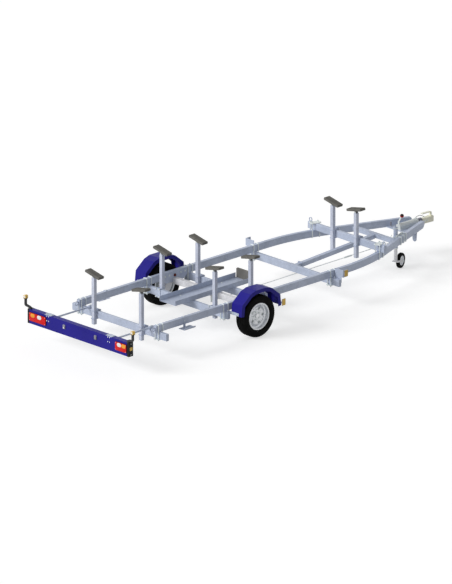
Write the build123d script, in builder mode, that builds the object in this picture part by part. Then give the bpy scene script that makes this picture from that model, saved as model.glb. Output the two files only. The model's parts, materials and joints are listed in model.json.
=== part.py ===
from build123d import *
from collections import namedtuple
import math
import os

# Single-axle keelboat trailer, standing on its two road wheels and its jockey wheel.
# Millimetres. +X is forward, +Y is the left side, +Z is up.
# The origin is on the ground, midway along the whole length, on the centre line.

os.makedirs("parts", exist_ok=True)

# ---------------------------------------------------------------- sizes

# Rails: 100 x 50 box section, level, bent inward in plan towards the coupling
RAIL_W = 50
RAIL_H = 100
RAIL_Z = 420                # underside
RAIL_Y = 756                # centre line of the parallel stretch
RAIL_REAR_X = -2650
RAIL_TIP_X = 3080
BEND_START_X = 942
BEND_RADIUS = 2600
BEND_ANGLE = 21.2           # degrees turned by each rail
TIP_ROUND = 28
TIP_BEVEL = 42

# Crossbeams: the same section, clamped under the rails, and one on top of them
BEAM_W = 50
BEAM_H = 100
BEAM_ROUND = 5

# U-bolts and their plates
U_WIRE = 12
U_OFFSET = 42               # from the middle of a beam to each U-bolt beside it
U_THREAD = 16               # threaded end that stands past the plate
U_GAP = 1                   # between a leg and the rail's side
PLATE = 8
CLAMP_PLATE_Y = 96
POST_PLATE_W = 92

# Small crosspiece between the rails and the centre beam that ends on it
SPREADER_X = 2270
SPREADER_W = 60
SPREADER_H = 60
SPREADER_Z = 440
CENTRE_BEAM_W = 60
CENTRE_BEAM_H = 60
CENTRE_BEAM_Z = 372         # axis height where it leaves the middle beam
CENTRE_BEAM_RISE = 3.3      # degrees
CENTRE_FLANGE = 10
CENTRE_FLANGE_Y = 140
CENTRE_FLANGE_Z = 96
CENTRE_BAND_X = 844
CENTRE_BAND_W = 24

# Keel trough: a U channel lying on the two beams beside the axle
TROUGH_REAR_X = -1687
TROUGH_FRONT_X = -250
TROUGH_W = 310
TROUGH_SIDE = 70
TROUGH_WALL = 4
STOP_W = 278
STOP_H = 132
STOP_T = 40

# Support posts and their tilting pads
POST_W = 50
POST_GAP = 0.3              # running clearance of a post on its beam and in its U-bolts
CHEEK_T = 6
PIN_R = 5
PIN_GAP = 0.3
PAD_LENGTH = 275
PAD_W = 100
PAD_T = 35
PAD_ROUND = 6
PAD_TILT = 12               # degrees, the outer end higher
PAD_LIFT = 18               # from the pin up to the underside of the pad
LUG_R = 12
LUG_W = 36
CHEEK_R = 13
POST_TOP_DROP = 16          # from the pin down to the top of the tube

# Road wheels (185/65 R14 on a 14 inch steel disc) and the torsion axle
WHEEL_X = -920
WHEEL_OUT = 174             # from the rail's centre line out to the middle of the wheel
TYRE_R = 298
TYRE_W = 185
FLANGE_R = 190
SEAT_R = 178
RIM_WELL_R = 162
RIM_W = 152
RIM_SHEET = 5
FLANGE_T = 6
WELL_IN = -42               # where the well starts and ends, outboard of the middle
WELL_OUT = 18
WELL_SLOPE = 10
DISC_FOOT = -4
DISC_CREST_R = 118
DISC_DISH_R = 102
HUB_FACE_R = 80
DISC_OUT = 36               # how far the dished disc stands outboard of the wheel centre
HUB_FACE_OUT = 22           # mounting face of the disc
VENT_R = 20                 # round windows in the disc
VENT_CIRCLE_R = 103
VENT_COUNT = 5
CAP_R = 31
CAP_H = 26
CAP_ROUND = 8
BEAD_GAP = 0.3
SHOULDER_R = 276
SHOULDER_HALF = 84
TREAD_HALF = 74
TREAD_DROP = 5
CROWN_HALF = 52
DRUM_R = 122
DRUM_IN = 78                # from the middle of the wheel in to the drum's open end
BACK_PLATE_R = 126
BACK_PLATE_T = 6
BACK_PLATE_GAP = 5
STUB_R = 20
STUB_GAP = 0.3
AXLE_X = -850
AXLE_W = 80
AXLE_OVERHANG = 9           # past the rails' outer faces
ARM_T = 34
ARM_R_TUBE = 44
ARM_R_HUB = 36
BRACKET_REAR_X = -1080
BRACKET_FRONT_X = -622
BRACKET_DEPTH = 55          # below the rail
BRACKET_T = 8
BRACKET_SLOPE = 60

# Fenders: bent sheet, faceted
FENDER_IN = 80              # from the middle of the wheel in to the fender's edge
FENDER_W = 200
FENDER_TOP_Z = 706
FENDER_X = -922
FENDER_SHEET = 4
SKIRT_DEPTH = 55            # edges turned down towards the wheel on both sides
STAY_T = 6
STAY_LOW_Z = 386
STAY_HIGH_Z = 426
STAY_REACH = 145            # out from the fender's inner edge
BEAM_END_GAP = 5            # between a fender and the beams' ends inside it

# Light board, pulled out to the rear on two rods
BOARD_X = -3370             # rear face
BOARD_HALF = 985
BOARD_Z = 301
BOARD_H = 200
BOARD_DEPTH = 80
BOARD_SHEET = 4
PLATE_SEAT_W = 520          # raised seat of the number plate
PLATE_SEAT_H = 114
PLATE_SEAT_T = 2
PLATE_Y = -36               # middle of the number plate and its two lamps
END_CAP_T = 12
END_CAP_ROUND = 4
END_REFLECTOR_W = 50
END_REFLECTOR_H = 48
END_REFLECTOR_T = 4
ROD_R = 12.5
ROD_Y = 600
ROD_Z = 438
ROD_FRONT_X = -2480
ROD_PLATE_Y = 60
ROD_PLATE_Z = 90
ROD_TAB_Y = 120
ROD_TAB_T = 5
GUIDE_W = 48
GUIDE_LENGTH = 80
GUIDE_GAP = 0.3
LAMP_T = 16
LAMP_H = 125
LAMP_Z = 407                # middle height
LAMP_OUT_Y = 958            # outer edge
LAMP_RIGHT_W = 225
LAMP_LEFT_W = 330
LAMP_ROUND = 14
PLATE_LAMP_OFF = 308        # from the plate's middle to each of its lamps
PLATE_LAMP_RISE = 14
PLATE_LAMP_W = 44
PLATE_LAMP_H = 60
ARM_IN = 18                 # from the board's rear face to the arm's middle
ARM_FOOT_Y = 965
ARM_TOP_Y = 1054
ARM_TOP_Z = 632
ARM_STEP = 26
ARM_RISE = 14
ARM_BEND_R = 18
ARM_WIDTH = 26
ARM_DEPTH = 28
MARKER_W = 46
MARKER_H = 50
MARKER_T = 46
MARKER_ROUND = 12

# Side reflectors and what carries them
REFLECTOR_W = 60
REFLECTOR_H = 90
REFLECTOR_T = 8
BOLT_CLEARANCE = 4          # beside the U-bolts on the rails
END_PLATE_REACH = 32        # past the end of its beam
END_PLATE_TOP_Z = 557
END_PLATE_LOW_Z = 372
END_PLATE_STEP_Z = 452
END_FLANGE_X = 90
BAR_T = 5
BAR_LOW_Z = 392
BAR_HIGH_Z = 420
BAR_INSET = 26              # in from the fender's outer edge
BAR_REACH = 90

# Steps outboard of the rails
STEP_X = -2123
STEP_LENGTH = 213
STEP_W = 115
STEP_T = 5
STEP_Z = 381
STEP_LIP = 22
STRAP_W = 40
STRAP_T = 6

# Lashing eyes
EYE_R = 30
EYE_WIRE = 10
EYE_FOOT = 44

# Overrun device and coupling between the rail tips
DRAW_Z = 480                # draw axis
OVERRUN_REAR_X = 2700
OVERRUN_FRONT_X = 3040
OVERRUN_FLOOR_T = 10
HOUSING_R = 44
HOUSING_FOOT_W = 96
HOUSING_REAR_X = 2715
HOUSING_FOOT_H = 30
COLLAR_R = 50
COLLAR_LENGTH = 26
HOUSING_FRONT_X = 3070
BELLOWS_R = 36
BELLOWS_ROOT_R = 27
BELLOWS_FOLDS = 5
BELLOWS_FOLD = 18
DRAW_TUBE_R = 25
COUPLING_REAR_X = 3168
NOSE_X = 3386
COUPLING_NOSE_R = 46
COUPLING_Z = 424
COUPLING_TOP_Z = 500
NECK_W = 62
SOCKET_R = 25.5
SOCKET_Z = 446              # centre of the ball
COUPLING_ROUND = 12
HANDLE_TOP_Z = 562
HANDLE_BEND_R = 14
HANDLE_T = 12
HANDLE_W = 38
CABLE_R = 5
CABLE_REAR_X = 3050
CABLE_FRONT_X = 3220
CABLE_TOP_Z = 550
LEVER_X = 2730
LEVER_BEND_Z = 556
LEVER_BEND_R = 16
LEVER_T = 10
LEVER_W = 22
KNOB_X = 2790
KNOB_Z = 624
KNOB_R = 20
BRAKE_PLATE_W = 30
BRAKE_PLATE_T = 12
BRAKE_ROD_R = 5
BRAKE_ROD_REAR_Z = 258
BRAKE_ROD_FRONT_Z = 290
BRAKE_ROD_GAP = 0.05        # behind the brake lever
ADJUSTER_X = 1754
ADJUSTER_R = 11
ADJUSTER_LENGTH = 120
LEVER_PLATE_W = 105         # brake lever that hangs at the overrun floor's front edge
LEVER_PLATE_TIP_R = 35
LEVER_PLATE_Z = 194
LEVER_PLATE_T = 10

# Jockey wheel, inboard of the right rail
JOCKEY_X = 2355
JOCKEY_STANDOFF = 46.4      # from the rail's inboard face to the column's axis
JOCKEY_OUTER_R = 30
JOCKEY_WALL = 4
JOCKEY_INNER_R = 25
JOCKEY_LOW_Z = 335
JOCKEY_TOP_Z = 640
JOCKEY_INNER_TOP_Z = 480
JOCKEY_GAP = 3
JOCKEY_CROWN_Z = 140        # underside of the fork's crown
KINGPIN_LENGTH = 38
CROWN_REACH = 28
FORK_END_R = 18
JOCKEY_FOOT_T = 12
JOCKEY_TRAIL = 165
JOCKEY_TYRE_R = 108
JOCKEY_TYRE_W = 56
JOCKEY_RIM_R = 66
JOCKEY_PIN_R = 8
FORK_T = 5
FORK_INSIDE = 72
CLAMP_LOW_Z = 436
CLAMP_HIGH_Z = 506
CLAMP_R = 40
CLAMP_BOLTS = (-46, 46, 118)   # along the rail from the jockey wheel's column
CRANK_R = 7
CRANK_RISE = 30
CRANK_REACH = 95
CRANK_GRIP = 70
CRANK_BEND_R = 16
ROLLER_HUB_R = 20
ROLLER_WEB = 14
ROLLER_SLOPE = 10
ROLLER_RIM_HALF = 22
ROLLER_CROWN_HALF = 18

# ---------------------------------------------------------------- worked-out places

RAIL_TOP_Z = RAIL_Z + RAIL_H
LOW_BEAM_Z = RAIL_Z - BEAM_H
BEND_END_X = BEND_START_X + BEND_RADIUS * math.sin(math.radians(BEND_ANGLE))
BEND_END_Y = RAIL_Y - BEND_RADIUS * (1 - math.cos(math.radians(BEND_ANGLE)))
TIP_LENGTH = (RAIL_TIP_X - BEND_END_X) / math.cos(math.radians(BEND_ANGLE))
AXLE_Z = RAIL_Z - AXLE_W / 2
AXLE_HALF = RAIL_Y + RAIL_W / 2 + AXLE_OVERHANG
WHEEL_Y = RAIL_Y + WHEEL_OUT
DRUM_INNER_Y = WHEEL_Y - DRUM_IN
FENDER_Y = WHEEL_Y - FENDER_IN
AXLE_BEAM_HALF = FENDER_Y - BEAM_END_GAP
BOLT_SIDE_Y = RAIL_Y + RAIL_W / 2 + U_GAP + U_WIRE + BOLT_CLEARANCE
BOARD_TOP_Z = BOARD_Z + BOARD_H

Beam = namedtuple("Beam", "x z half")
BEAMS = {
    "rear": Beam(x=-2575, z=LOW_BEAM_Z, half=925),
    "aft": Beam(x=-1340, z=LOW_BEAM_Z, half=AXLE_BEAM_HALF),
    "fore": Beam(x=-560, z=LOW_BEAM_Z, half=AXLE_BEAM_HALF),
    "middle": Beam(x=695, z=LOW_BEAM_Z, half=925),
    "bow": Beam(x=1735, z=RAIL_TOP_Z, half=750),
}

# face: -1 where the post stands on the rear face of its beam, +1 on the front face
Post = namedtuple("Post", "face y foot_z pad_z")
POSTS = {
    "rear": Post(face=-1, y=465, foot_z=234, pad_z=954),
    "aft": Post(face=1, y=520, foot_z=244, pad_z=963),
    "fore": Post(face=-1, y=520, foot_z=244, pad_z=962),
    "bow": Post(face=-1, y=230, foot_z=336, pad_z=1034),
}
SIDES = {"left": 1, "right": -1}


def rail_heading(x):
    """Angle in degrees by which the left rail turns inward at x."""
    if x <= BEND_START_X:
        return 0
    if x >= BEND_END_X:
        return BEND_ANGLE
    return math.degrees(math.asin((x - BEND_START_X) / BEND_RADIUS))


def rail_y(x):
    """Distance of the rail's centre line from the middle of the trailer at x."""
    if x >= BEND_END_X:
        return BEND_END_Y - (x - BEND_END_X) * math.tan(math.radians(BEND_ANGLE))
    return RAIL_Y - BEND_RADIUS * (1 - math.cos(math.radians(rail_heading(x))))


def rail_inner_y(x):
    """Distance of the rail's inboard face from the middle of the trailer at x."""
    return rail_y(x) - RAIL_W / 2 / math.cos(math.radians(rail_heading(x)))


def post_x(station):
    """Centre of the posts of a station, set against one face of their beam."""
    reach = BEAM_W / 2 + POST_GAP + POST_W / 2
    return BEAMS[station].x + POSTS[station].face * reach


def pin_z(station):
    """Height of a pad's pin, straight below the pad's middle along its tilt."""
    drop = (PAD_LIFT + PAD_T / 2) * math.cos(math.radians(PAD_TILT))
    return POSTS[station].pad_z - drop


JOCKEY_TURN = rail_heading(JOCKEY_X)
JOCKEY_Y = (JOCKEY_STANDOFF + RAIL_W / 2) / math.cos(math.radians(JOCKEY_TURN)) - rail_y(JOCKEY_X)


def keep(piece, name):
    """Label a finished piece and write it as a STEP file of the same name."""
    piece.part.label = name
    export_step(piece.part, f"parts/{name}.step")


def plate_block(low, high):
    """A box between two corners, added to the part that is being built."""
    size = [b - a for a, b in zip(low, high)]
    middle = [(a + b) / 2 for a, b in zip(low, high)]
    with Locations(tuple(middle)):
        Box(*size)


def u_bolt(bend, inside, leg):
    """A U-bolt in the XY of the plane `bend`: its bend lies towards +Y, its legs run `leg` towards -Y."""
    with BuildSketch(bend) as outline:
        with Locations((0, U_WIRE)):
            Rectangle(inside + 2 * U_WIRE, leg + U_WIRE, align=(Align.CENTER, Align.MAX))
        fillet(outline.vertices().group_by(Axis.Y)[-1], U_WIRE)
        Rectangle(inside, leg, align=(Align.CENTER, Align.MAX), mode=Mode.SUBTRACT)
    extrude(outline.sketch, amount=U_WIRE / 2, both=True)


# ---------------------------------------------------------------- rails and beams

for side_name, side in SIDES.items():
    with BuildPart() as rail:
        with BuildLine(Plane.XY.offset(RAIL_Z + RAIL_H / 2)) as centre_line:
            straight = Line((RAIL_REAR_X, side * RAIL_Y), (BEND_START_X, side * RAIL_Y))
            bend = JernArc(straight @ 1, straight % 1, BEND_RADIUS, -side * BEND_ANGLE)
            PolarLine(bend @ 1, TIP_LENGTH, -side * BEND_ANGLE)
        with BuildSketch(Plane.YZ.offset(RAIL_REAR_X)):
            with Locations((side * RAIL_Y, RAIL_Z + RAIL_H / 2)):
                Rectangle(RAIL_W, RAIL_H)
        sweep(path=centre_line.line)
        tip_edges = rail.faces().sort_by(Axis.X)[-1].edges().sort_by(Axis.Z)
        fillet(tip_edges[-1], TIP_ROUND)
        tip_edges = rail.faces().sort_by(Axis.X)[-1].edges().sort_by(Axis.Z)
        chamfer(tip_edges[0], TIP_BEVEL)
    keep(rail, f"rail_{side_name}")

with BuildPart() as crossbeams:
    for beam in BEAMS.values():
        with Locations((beam.x, 0, beam.z + BEAM_H / 2)):
            Box(BEAM_W, 2 * beam.half, BEAM_H)
    fillet(crossbeams.edges().filter_by(Axis.Y), BEAM_ROUND)
    spreader_back = SPREADER_X - SPREADER_W / 2
    spreader_front = SPREADER_X + SPREADER_W / 2
    with BuildSketch(Plane.XY.offset(SPREADER_Z)):
        with BuildLine():
            Polyline(
                (spreader_back, rail_inner_y(spreader_back)),
                (spreader_front, rail_inner_y(spreader_front)),
                (spreader_front, -rail_inner_y(spreader_front)),
                (spreader_back, -rail_inner_y(spreader_back)),
                close=True,
            )
        make_face()
    extrude(amount=SPREADER_H)
keep(crossbeams, "crossbeams")

# The centre beam: bolted to the middle beam by its flange, cut upright where it meets the crosspiece
flange_back = BEAMS["middle"].x + BEAM_W / 2
centre_back = flange_back + CENTRE_FLANGE
centre_slope = math.tan(math.radians(CENTRE_BEAM_RISE))
centre_half_h = CENTRE_BEAM_H / 2 / math.cos(math.radians(CENTRE_BEAM_RISE))


def centre_axis_z(x):
    """Height of the centre beam's axis at x."""
    return CENTRE_BEAM_Z + (x - centre_back) * centre_slope


with BuildPart() as centre_beam:
    with BuildSketch(Plane.XZ):
        with BuildLine():
            Polyline(
                (centre_back, centre_axis_z(centre_back) - centre_half_h),
                (spreader_back, centre_axis_z(spreader_back) - centre_half_h),
                (spreader_back, centre_axis_z(spreader_back) + centre_half_h),
                (centre_back, centre_axis_z(centre_back) + centre_half_h),
                close=True,
            )
        make_face()
    extrude(amount=CENTRE_BEAM_W / 2, both=True)
    plate_block(
        (flange_back, -CENTRE_FLANGE_Y / 2, RAIL_Z - BEAM_H / 2 - CENTRE_FLANGE_Z / 2),
        (centre_back, CENTRE_FLANGE_Y / 2, RAIL_Z - BEAM_H / 2 + CENTRE_FLANGE_Z / 2),
    )
    with Locations(Location((CENTRE_BAND_X, 0, centre_axis_z(CENTRE_BAND_X)), (0, -CENTRE_BEAM_RISE, 0))):
        Box(CENTRE_BAND_W, CENTRE_BEAM_W + 2 * U_WIRE, CENTRE_BEAM_H + 2 * U_WIRE)
keep(centre_beam, "centre_beam")

# U-bolts and plates where the beams cross the rails
with BuildPart() as rail_clamps:
    for beam in BEAMS.values():
        under = beam.z < RAIL_Z
        turn = rail_heading(beam.x)
        plate_z = beam.z - PLATE if under else beam.z + BEAM_H
        bend_z = RAIL_TOP_Z if under else RAIL_Z
        leg = RAIL_H + BEAM_H + PLATE + U_THREAD
        # On a slanted rail the U-bolts stand further apart, clear of the beam's faces
        slant = math.radians(turn)
        spacing = (U_OFFSET + (RAIL_W / 2 + U_WIRE) * math.sin(slant)) / math.cos(slant)
        for side in SIDES.values():
            place = Location((beam.x, side * rail_y(beam.x), 0), (0, 0, -side * turn))
            crossing = Plane(place)
            with Locations(place * Location((0, 0, plate_z + PLATE / 2))):
                Box(2 * spacing + 3 * U_WIRE, CLAMP_PLATE_Y, PLATE)
            for along in (-spacing, spacing):
                up = 1 if under else -1
                u_bolt(
                    Plane(
                        origin=crossing.from_local_coords((along, 0, bend_z)),
                        x_dir=crossing.y_dir,
                        z_dir=crossing.x_dir * up,
                    ),
                    RAIL_W + 2 * U_GAP,
                    leg,
                )
keep(rail_clamps, "rail_clamps")

# ---------------------------------------------------------------- keel trough

with BuildPart() as keel_trough:
    with BuildSketch(Plane.YZ.offset(TROUGH_REAR_X)) as channel:
        with Locations((0, RAIL_Z)):
            Rectangle(TROUGH_W, TROUGH_SIDE, align=(Align.CENTER, Align.MIN))
        with Locations((0, RAIL_Z + TROUGH_WALL)):
            Rectangle(
                TROUGH_W - 2 * TROUGH_WALL, TROUGH_SIDE, align=(Align.CENTER, Align.MIN), mode=Mode.SUBTRACT
            )
    extrude(amount=TROUGH_FRONT_X - TROUGH_REAR_X)
keep(keel_trough, "keel_trough")

with BuildPart() as keel_stop:
    with BuildSketch(Plane.YZ.offset(TROUGH_FRONT_X)):
        with Locations((0, RAIL_Z)):
            Rectangle(STOP_W, TROUGH_WALL + STOP_H, align=(Align.CENTER, Align.MIN))
    extrude(amount=STOP_T)
    fillet(keel_stop.edges().filter_by(Axis.Y).group_by(Axis.Z)[-1], PAD_ROUND)
keep(keel_stop, "keel_stop")

# ---------------------------------------------------------------- support posts and pads

for station, post in POSTS.items():
    for side_name, side in SIDES.items():
        x = post_x(station)
        y = side * post.y
        pin = pin_z(station)
        top = pin - POST_TOP_DROP

        with BuildPart() as support:
            plate_block(
                (x - POST_W / 2, y - POST_W / 2, post.foot_z),
                (x + POST_W / 2, y + POST_W / 2, top),
            )
            for cheek_x in (x - POST_W / 2, x + POST_W / 2 - CHEEK_T):
                with BuildSketch(Plane.YZ.offset(cheek_x)) as cheek:
                    with Locations((y, pin)):
                        Circle(CHEEK_R)
                        Rectangle(2 * CHEEK_R, POST_TOP_DROP, align=(Align.CENTER, Align.MAX))
                extrude(cheek.sketch, amount=CHEEK_T)
            with BuildSketch(Plane.YZ.offset(x - POST_W / 2)) as pin_end:
                with Locations((y, pin)):
                    Circle(PIN_R)
            extrude(pin_end.sketch, amount=POST_W)
        keep(support, f"post_{station}_{side_name}")

        tilt = math.radians(side * PAD_TILT)
        across = Plane(
            origin=(x, y, pin), x_dir=(0, math.cos(tilt), math.sin(tilt)), z_dir=(1, 0, 0)
        )
        with BuildPart() as pad:
            with BuildSketch(across) as board:
                with Locations((0, PAD_LIFT + PAD_T / 2)):
                    RectangleRounded(PAD_LENGTH, PAD_T, PAD_ROUND)
            extrude(board.sketch, amount=PAD_W / 2, both=True)
            with BuildSketch(across) as lug:
                Circle(LUG_R)
                Rectangle(2 * LUG_R, PAD_LIFT + PAD_T / 2, align=(Align.CENTER, Align.MIN))
                Circle(PIN_R + PIN_GAP, mode=Mode.SUBTRACT)
            extrude(lug.sketch, amount=LUG_W / 2, both=True)
        keep(pad, f"pad_{station}_{side_name}")

# Each post is held to its beam by two U-bolts, above and below the beam, through a plate behind it
with BuildPart() as post_clamps:
    for station, post in POSTS.items():
        beam = BEAMS[station]
        outer_x = post_x(station) + post.face * (POST_W / 2 + POST_GAP)
        plate_x = beam.x - post.face * (BEAM_W / 2 + PLATE / 2)
        leg = POST_W + 2 * POST_GAP + BEAM_W + PLATE + U_THREAD
        for side in SIDES.values():
            with Locations((plate_x, side * post.y, beam.z + BEAM_H / 2)):
                Box(PLATE, POST_PLATE_W, BEAM_H + 3 * U_WIRE)
            for bolt_z in (beam.z - U_WIRE / 2, beam.z + BEAM_H + U_WIRE / 2):
                u_bolt(
                    Plane(origin=(outer_x, side * post.y, bolt_z), x_dir=(0, 1, 0), z_dir=(0, 0, -post.face)),
                    POST_W + 2 * POST_GAP,
                    leg,
                )
keep(post_clamps, "post_clamps")

# ---------------------------------------------------------------- axle

with BuildPart() as axle_tube:
    plate_block(
        (AXLE_X - AXLE_W / 2, -AXLE_HALF, RAIL_Z - AXLE_W),
        (AXLE_X + AXLE_W / 2, AXLE_HALF, RAIL_Z),
    )
    fillet(axle_tube.edges().filter_by(Axis.Y), BEAM_ROUND)
keep(axle_tube, "axle_tube")

# Side plates on the rails' inboard faces, cut out to sit over the axle tube
with BuildPart() as axle_brackets:
    for side in SIDES.values():
        inboard = side * (RAIL_Y - RAIL_W / 2)
        with BuildSketch(Plane.XZ.offset(-inboard)) as bracket:
            with BuildLine():
                Polyline(
                    (BRACKET_REAR_X, RAIL_TOP_Z),
                    (BRACKET_REAR_X, RAIL_Z),
                    (BRACKET_REAR_X + BRACKET_SLOPE, RAIL_Z - BRACKET_DEPTH),
                    (BRACKET_FRONT_X - BRACKET_SLOPE, RAIL_Z - BRACKET_DEPTH),
                    (BRACKET_FRONT_X, RAIL_Z),
                    (BRACKET_FRONT_X, RAIL_TOP_Z),
                    close=True,
                )
            make_face()
            with Locations((AXLE_X, RAIL_Z)):
                Rectangle(AXLE_W, BRACKET_DEPTH, align=(Align.CENTER, Align.MAX), mode=Mode.SUBTRACT)
        extrude(bracket.sketch, amount=side * BRACKET_T)
keep(axle_brackets, "axle_brackets")

# Trailing arms with their stub axles and brake back plates
with BuildPart() as trailing_arms:
    for side in SIDES.values():
        with BuildSketch(Plane.XZ.offset(-side * AXLE_HALF)) as arm:
            with Locations((AXLE_X, AXLE_Z)):
                Circle(ARM_R_TUBE)
            with Locations((WHEEL_X, TYRE_R)):
                Circle(ARM_R_HUB)
            make_hull(arm.edges())
        extrude(arm.sketch, amount=-side * ARM_T)
        with BuildSketch(Plane.XZ.offset(-side * (AXLE_HALF + ARM_T))) as stub:
            with Locations((WHEEL_X, TYRE_R)):
                Circle(STUB_R)
        extrude(stub.sketch, amount=-side * (WHEEL_Y - AXLE_HALF - ARM_T))
        with BuildSketch(Plane.XZ.offset(-side * (DRUM_INNER_Y - BACK_PLATE_GAP))) as back_plate:
            with Locations((WHEEL_X, TYRE_R)):
                Circle(BACK_PLATE_R)
        extrude(back_plate.sketch, amount=side * BACK_PLATE_T)
keep(trailing_arms, "trailing_arms")

# ---------------------------------------------------------------- road wheels

rim_half = RIM_W / 2
seat_half = rim_half - FLANGE_T
disc_joint_r = RIM_WELL_R - RIM_SHEET / 2

for side_name, side in SIDES.items():
    # Local x is the distance outboard of the wheel's middle, local y is the radius
    section = Plane(origin=(WHEEL_X, side * WHEEL_Y, TYRE_R), x_dir=(0, side, 0), z_dir=(side, 0, 0))
    spin = Axis((WHEEL_X, 0, TYRE_R), (0, 1, 0))

    with BuildPart() as hub_drum:
        drum_in = DRUM_INNER_Y - WHEEL_Y
        face_in = HUB_FACE_OUT - RIM_SHEET
        with BuildSketch(section):
            with BuildLine():
                Polyline(
                    (0, 0),
                    (0, STUB_R + STUB_GAP),
                    (drum_in, STUB_R + STUB_GAP),
                    (drum_in, DRUM_R),
                    (face_in, DRUM_R),
                    (face_in, CAP_R),
                    (HUB_FACE_OUT + CAP_H - CAP_ROUND, CAP_R),
                )
                TangentArc(
                    (HUB_FACE_OUT + CAP_H - CAP_ROUND, CAP_R),
                    (HUB_FACE_OUT + CAP_H, CAP_R - CAP_ROUND),
                    tangent=(1, 0),
                )
                Polyline((HUB_FACE_OUT + CAP_H, CAP_R - CAP_ROUND), (HUB_FACE_OUT + CAP_H, 0), (0, 0))
            make_face()
        revolve(axis=spin)
    keep(hub_drum, f"hub_drum_{side_name}")

    with BuildPart() as wheel_rim:
        with BuildSketch(section) as barrel:
            with BuildLine():
                Polyline(
                    (-rim_half, FLANGE_R),
                    (-seat_half, FLANGE_R),
                    (-seat_half, SEAT_R),
                    (WELL_IN, SEAT_R),
                    (WELL_IN + WELL_SLOPE, RIM_WELL_R),
                    (WELL_OUT - WELL_SLOPE, RIM_WELL_R),
                    (WELL_OUT, SEAT_R),
                    (seat_half, SEAT_R),
                    (seat_half, FLANGE_R),
                    (rim_half, FLANGE_R),
                    (rim_half, SEAT_R - RIM_SHEET),
                    (WELL_OUT + RIM_SHEET / 2, SEAT_R - RIM_SHEET),
                    (WELL_OUT - WELL_SLOPE + RIM_SHEET / 2, RIM_WELL_R - RIM_SHEET),
                    (WELL_IN + WELL_SLOPE - RIM_SHEET / 2, RIM_WELL_R - RIM_SHEET),
                    (WELL_IN - RIM_SHEET / 2, SEAT_R - RIM_SHEET),
                    (-rim_half, SEAT_R - RIM_SHEET),
                    close=True,
                )
            make_face()
        revolve(barrel.sketch, axis=spin)
        with BuildSketch(section) as disc:
            with BuildLine():
                Polyline(
                    (DISC_FOOT, disc_joint_r),
                    (DISC_FOOT + RIM_SHEET, disc_joint_r),
                    (DISC_OUT, DISC_CREST_R),
                    (DISC_OUT, DISC_DISH_R),
                    (HUB_FACE_OUT, HUB_FACE_R),
                    (HUB_FACE_OUT, CAP_R + STUB_GAP),
                    (HUB_FACE_OUT - RIM_SHEET, CAP_R + STUB_GAP),
                    (HUB_FACE_OUT - RIM_SHEET, HUB_FACE_R),
                    (DISC_OUT - RIM_SHEET, DISC_DISH_R),
                    (DISC_OUT - RIM_SHEET, DISC_CREST_R - RIM_SHEET / 2),
                    (DISC_FOOT, disc_joint_r - RIM_SHEET),
                    close=True,
                )
            make_face()
        revolve(disc.sketch, axis=spin)
        vent_plane = Plane(origin=(WHEEL_X, side * WHEEL_Y, TYRE_R), x_dir=(1, 0, 0), z_dir=(0, side, 0))
        with BuildSketch(vent_plane) as vents:
            with PolarLocations(VENT_CIRCLE_R, VENT_COUNT):
                Circle(VENT_R)
        extrude(vents.sketch, amount=DISC_OUT + RIM_SHEET, mode=Mode.SUBTRACT)
    keep(wheel_rim, f"wheel_rim_{side_name}")

    with BuildPart() as tyre:
        bead_half = seat_half - BEAD_GAP
        bead_r = SEAT_R + BEAD_GAP
        with BuildSketch(section):
            with BuildLine():
                Polyline((bead_half, bead_r), (-bead_half, bead_r), (-bead_half, FLANGE_R + BEAD_GAP))
                ThreePointArc(
                    (-bead_half, FLANGE_R + BEAD_GAP),
                    (-TYRE_W / 2, (FLANGE_R + SHOULDER_R) / 2),
                    (-SHOULDER_HALF, SHOULDER_R),
                )
                Polyline(
                    (-SHOULDER_HALF, SHOULDER_R),
                    (-TREAD_HALF, TYRE_R - TREAD_DROP),
                    (-CROWN_HALF, TYRE_R),
                    (CROWN_HALF, TYRE_R),
                    (TREAD_HALF, TYRE_R - TREAD_DROP),
                    (SHOULDER_HALF, SHOULDER_R),
                )
                ThreePointArc(
                    (SHOULDER_HALF, SHOULDER_R),
                    (TYRE_W / 2, (FLANGE_R + SHOULDER_R) / 2),
                    (bead_half, FLANGE_R + BEAD_GAP),
                )
                Line((bead_half, FLANGE_R + BEAD_GAP), (bead_half, bead_r))
            make_face()
        revolve(axis=spin)
    keep(tyre, f"tyre_{side_name}")

# ---------------------------------------------------------------- fenders

# Outer corners of the bent sheet: distance from the middle, drop from the top
FENDER_CORNERS = [(100, 0), (200, 32), (360, 160), (378, 323)]
fender_outline = [(FENDER_X - along, FENDER_TOP_Z - drop) for along, drop in reversed(FENDER_CORNERS)]
fender_outline += [(FENDER_X + along, FENDER_TOP_Z - drop) for along, drop in FENDER_CORNERS]

with BuildPart() as fenders:
    for side in SIDES.values():
        with BuildSketch(Plane.XZ.offset(-side * FENDER_Y)) as bent_sheet:
            with BuildLine():
                Polyline(*fender_outline)
                offset(amount=FENDER_SHEET, side=Side.RIGHT)
            make_face()
        extrude(bent_sheet.sketch, amount=-side * FENDER_W)
        for edge_y, inward in ((FENDER_Y, 1), (FENDER_Y + FENDER_W, -1)):
            with BuildSketch(Plane.XZ.offset(-side * edge_y)) as skirt:
                with BuildLine():
                    Polyline(*fender_outline)
                    offset(amount=SKIRT_DEPTH, side=Side.RIGHT)
                make_face()
            extrude(skirt.sketch, amount=-side * inward * FENDER_SHEET)
keep(fenders, "fenders")


def fender_end_x(z, end):
    """Outer face of the fender's end panel at height z; end is -1 at the rear and +1 at the front."""
    (upper, upper_drop), (lower, lower_drop) = FENDER_CORNERS[-2:]
    share = (FENDER_TOP_Z - z - upper_drop) / (lower_drop - upper_drop)
    return FENDER_X + end * (upper + share * (lower - upper))

# ---------------------------------------------------------------- light board

board_front = BOARD_X + BOARD_DEPTH
board_middle_x = BOARD_X + BOARD_DEPTH / 2

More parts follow.
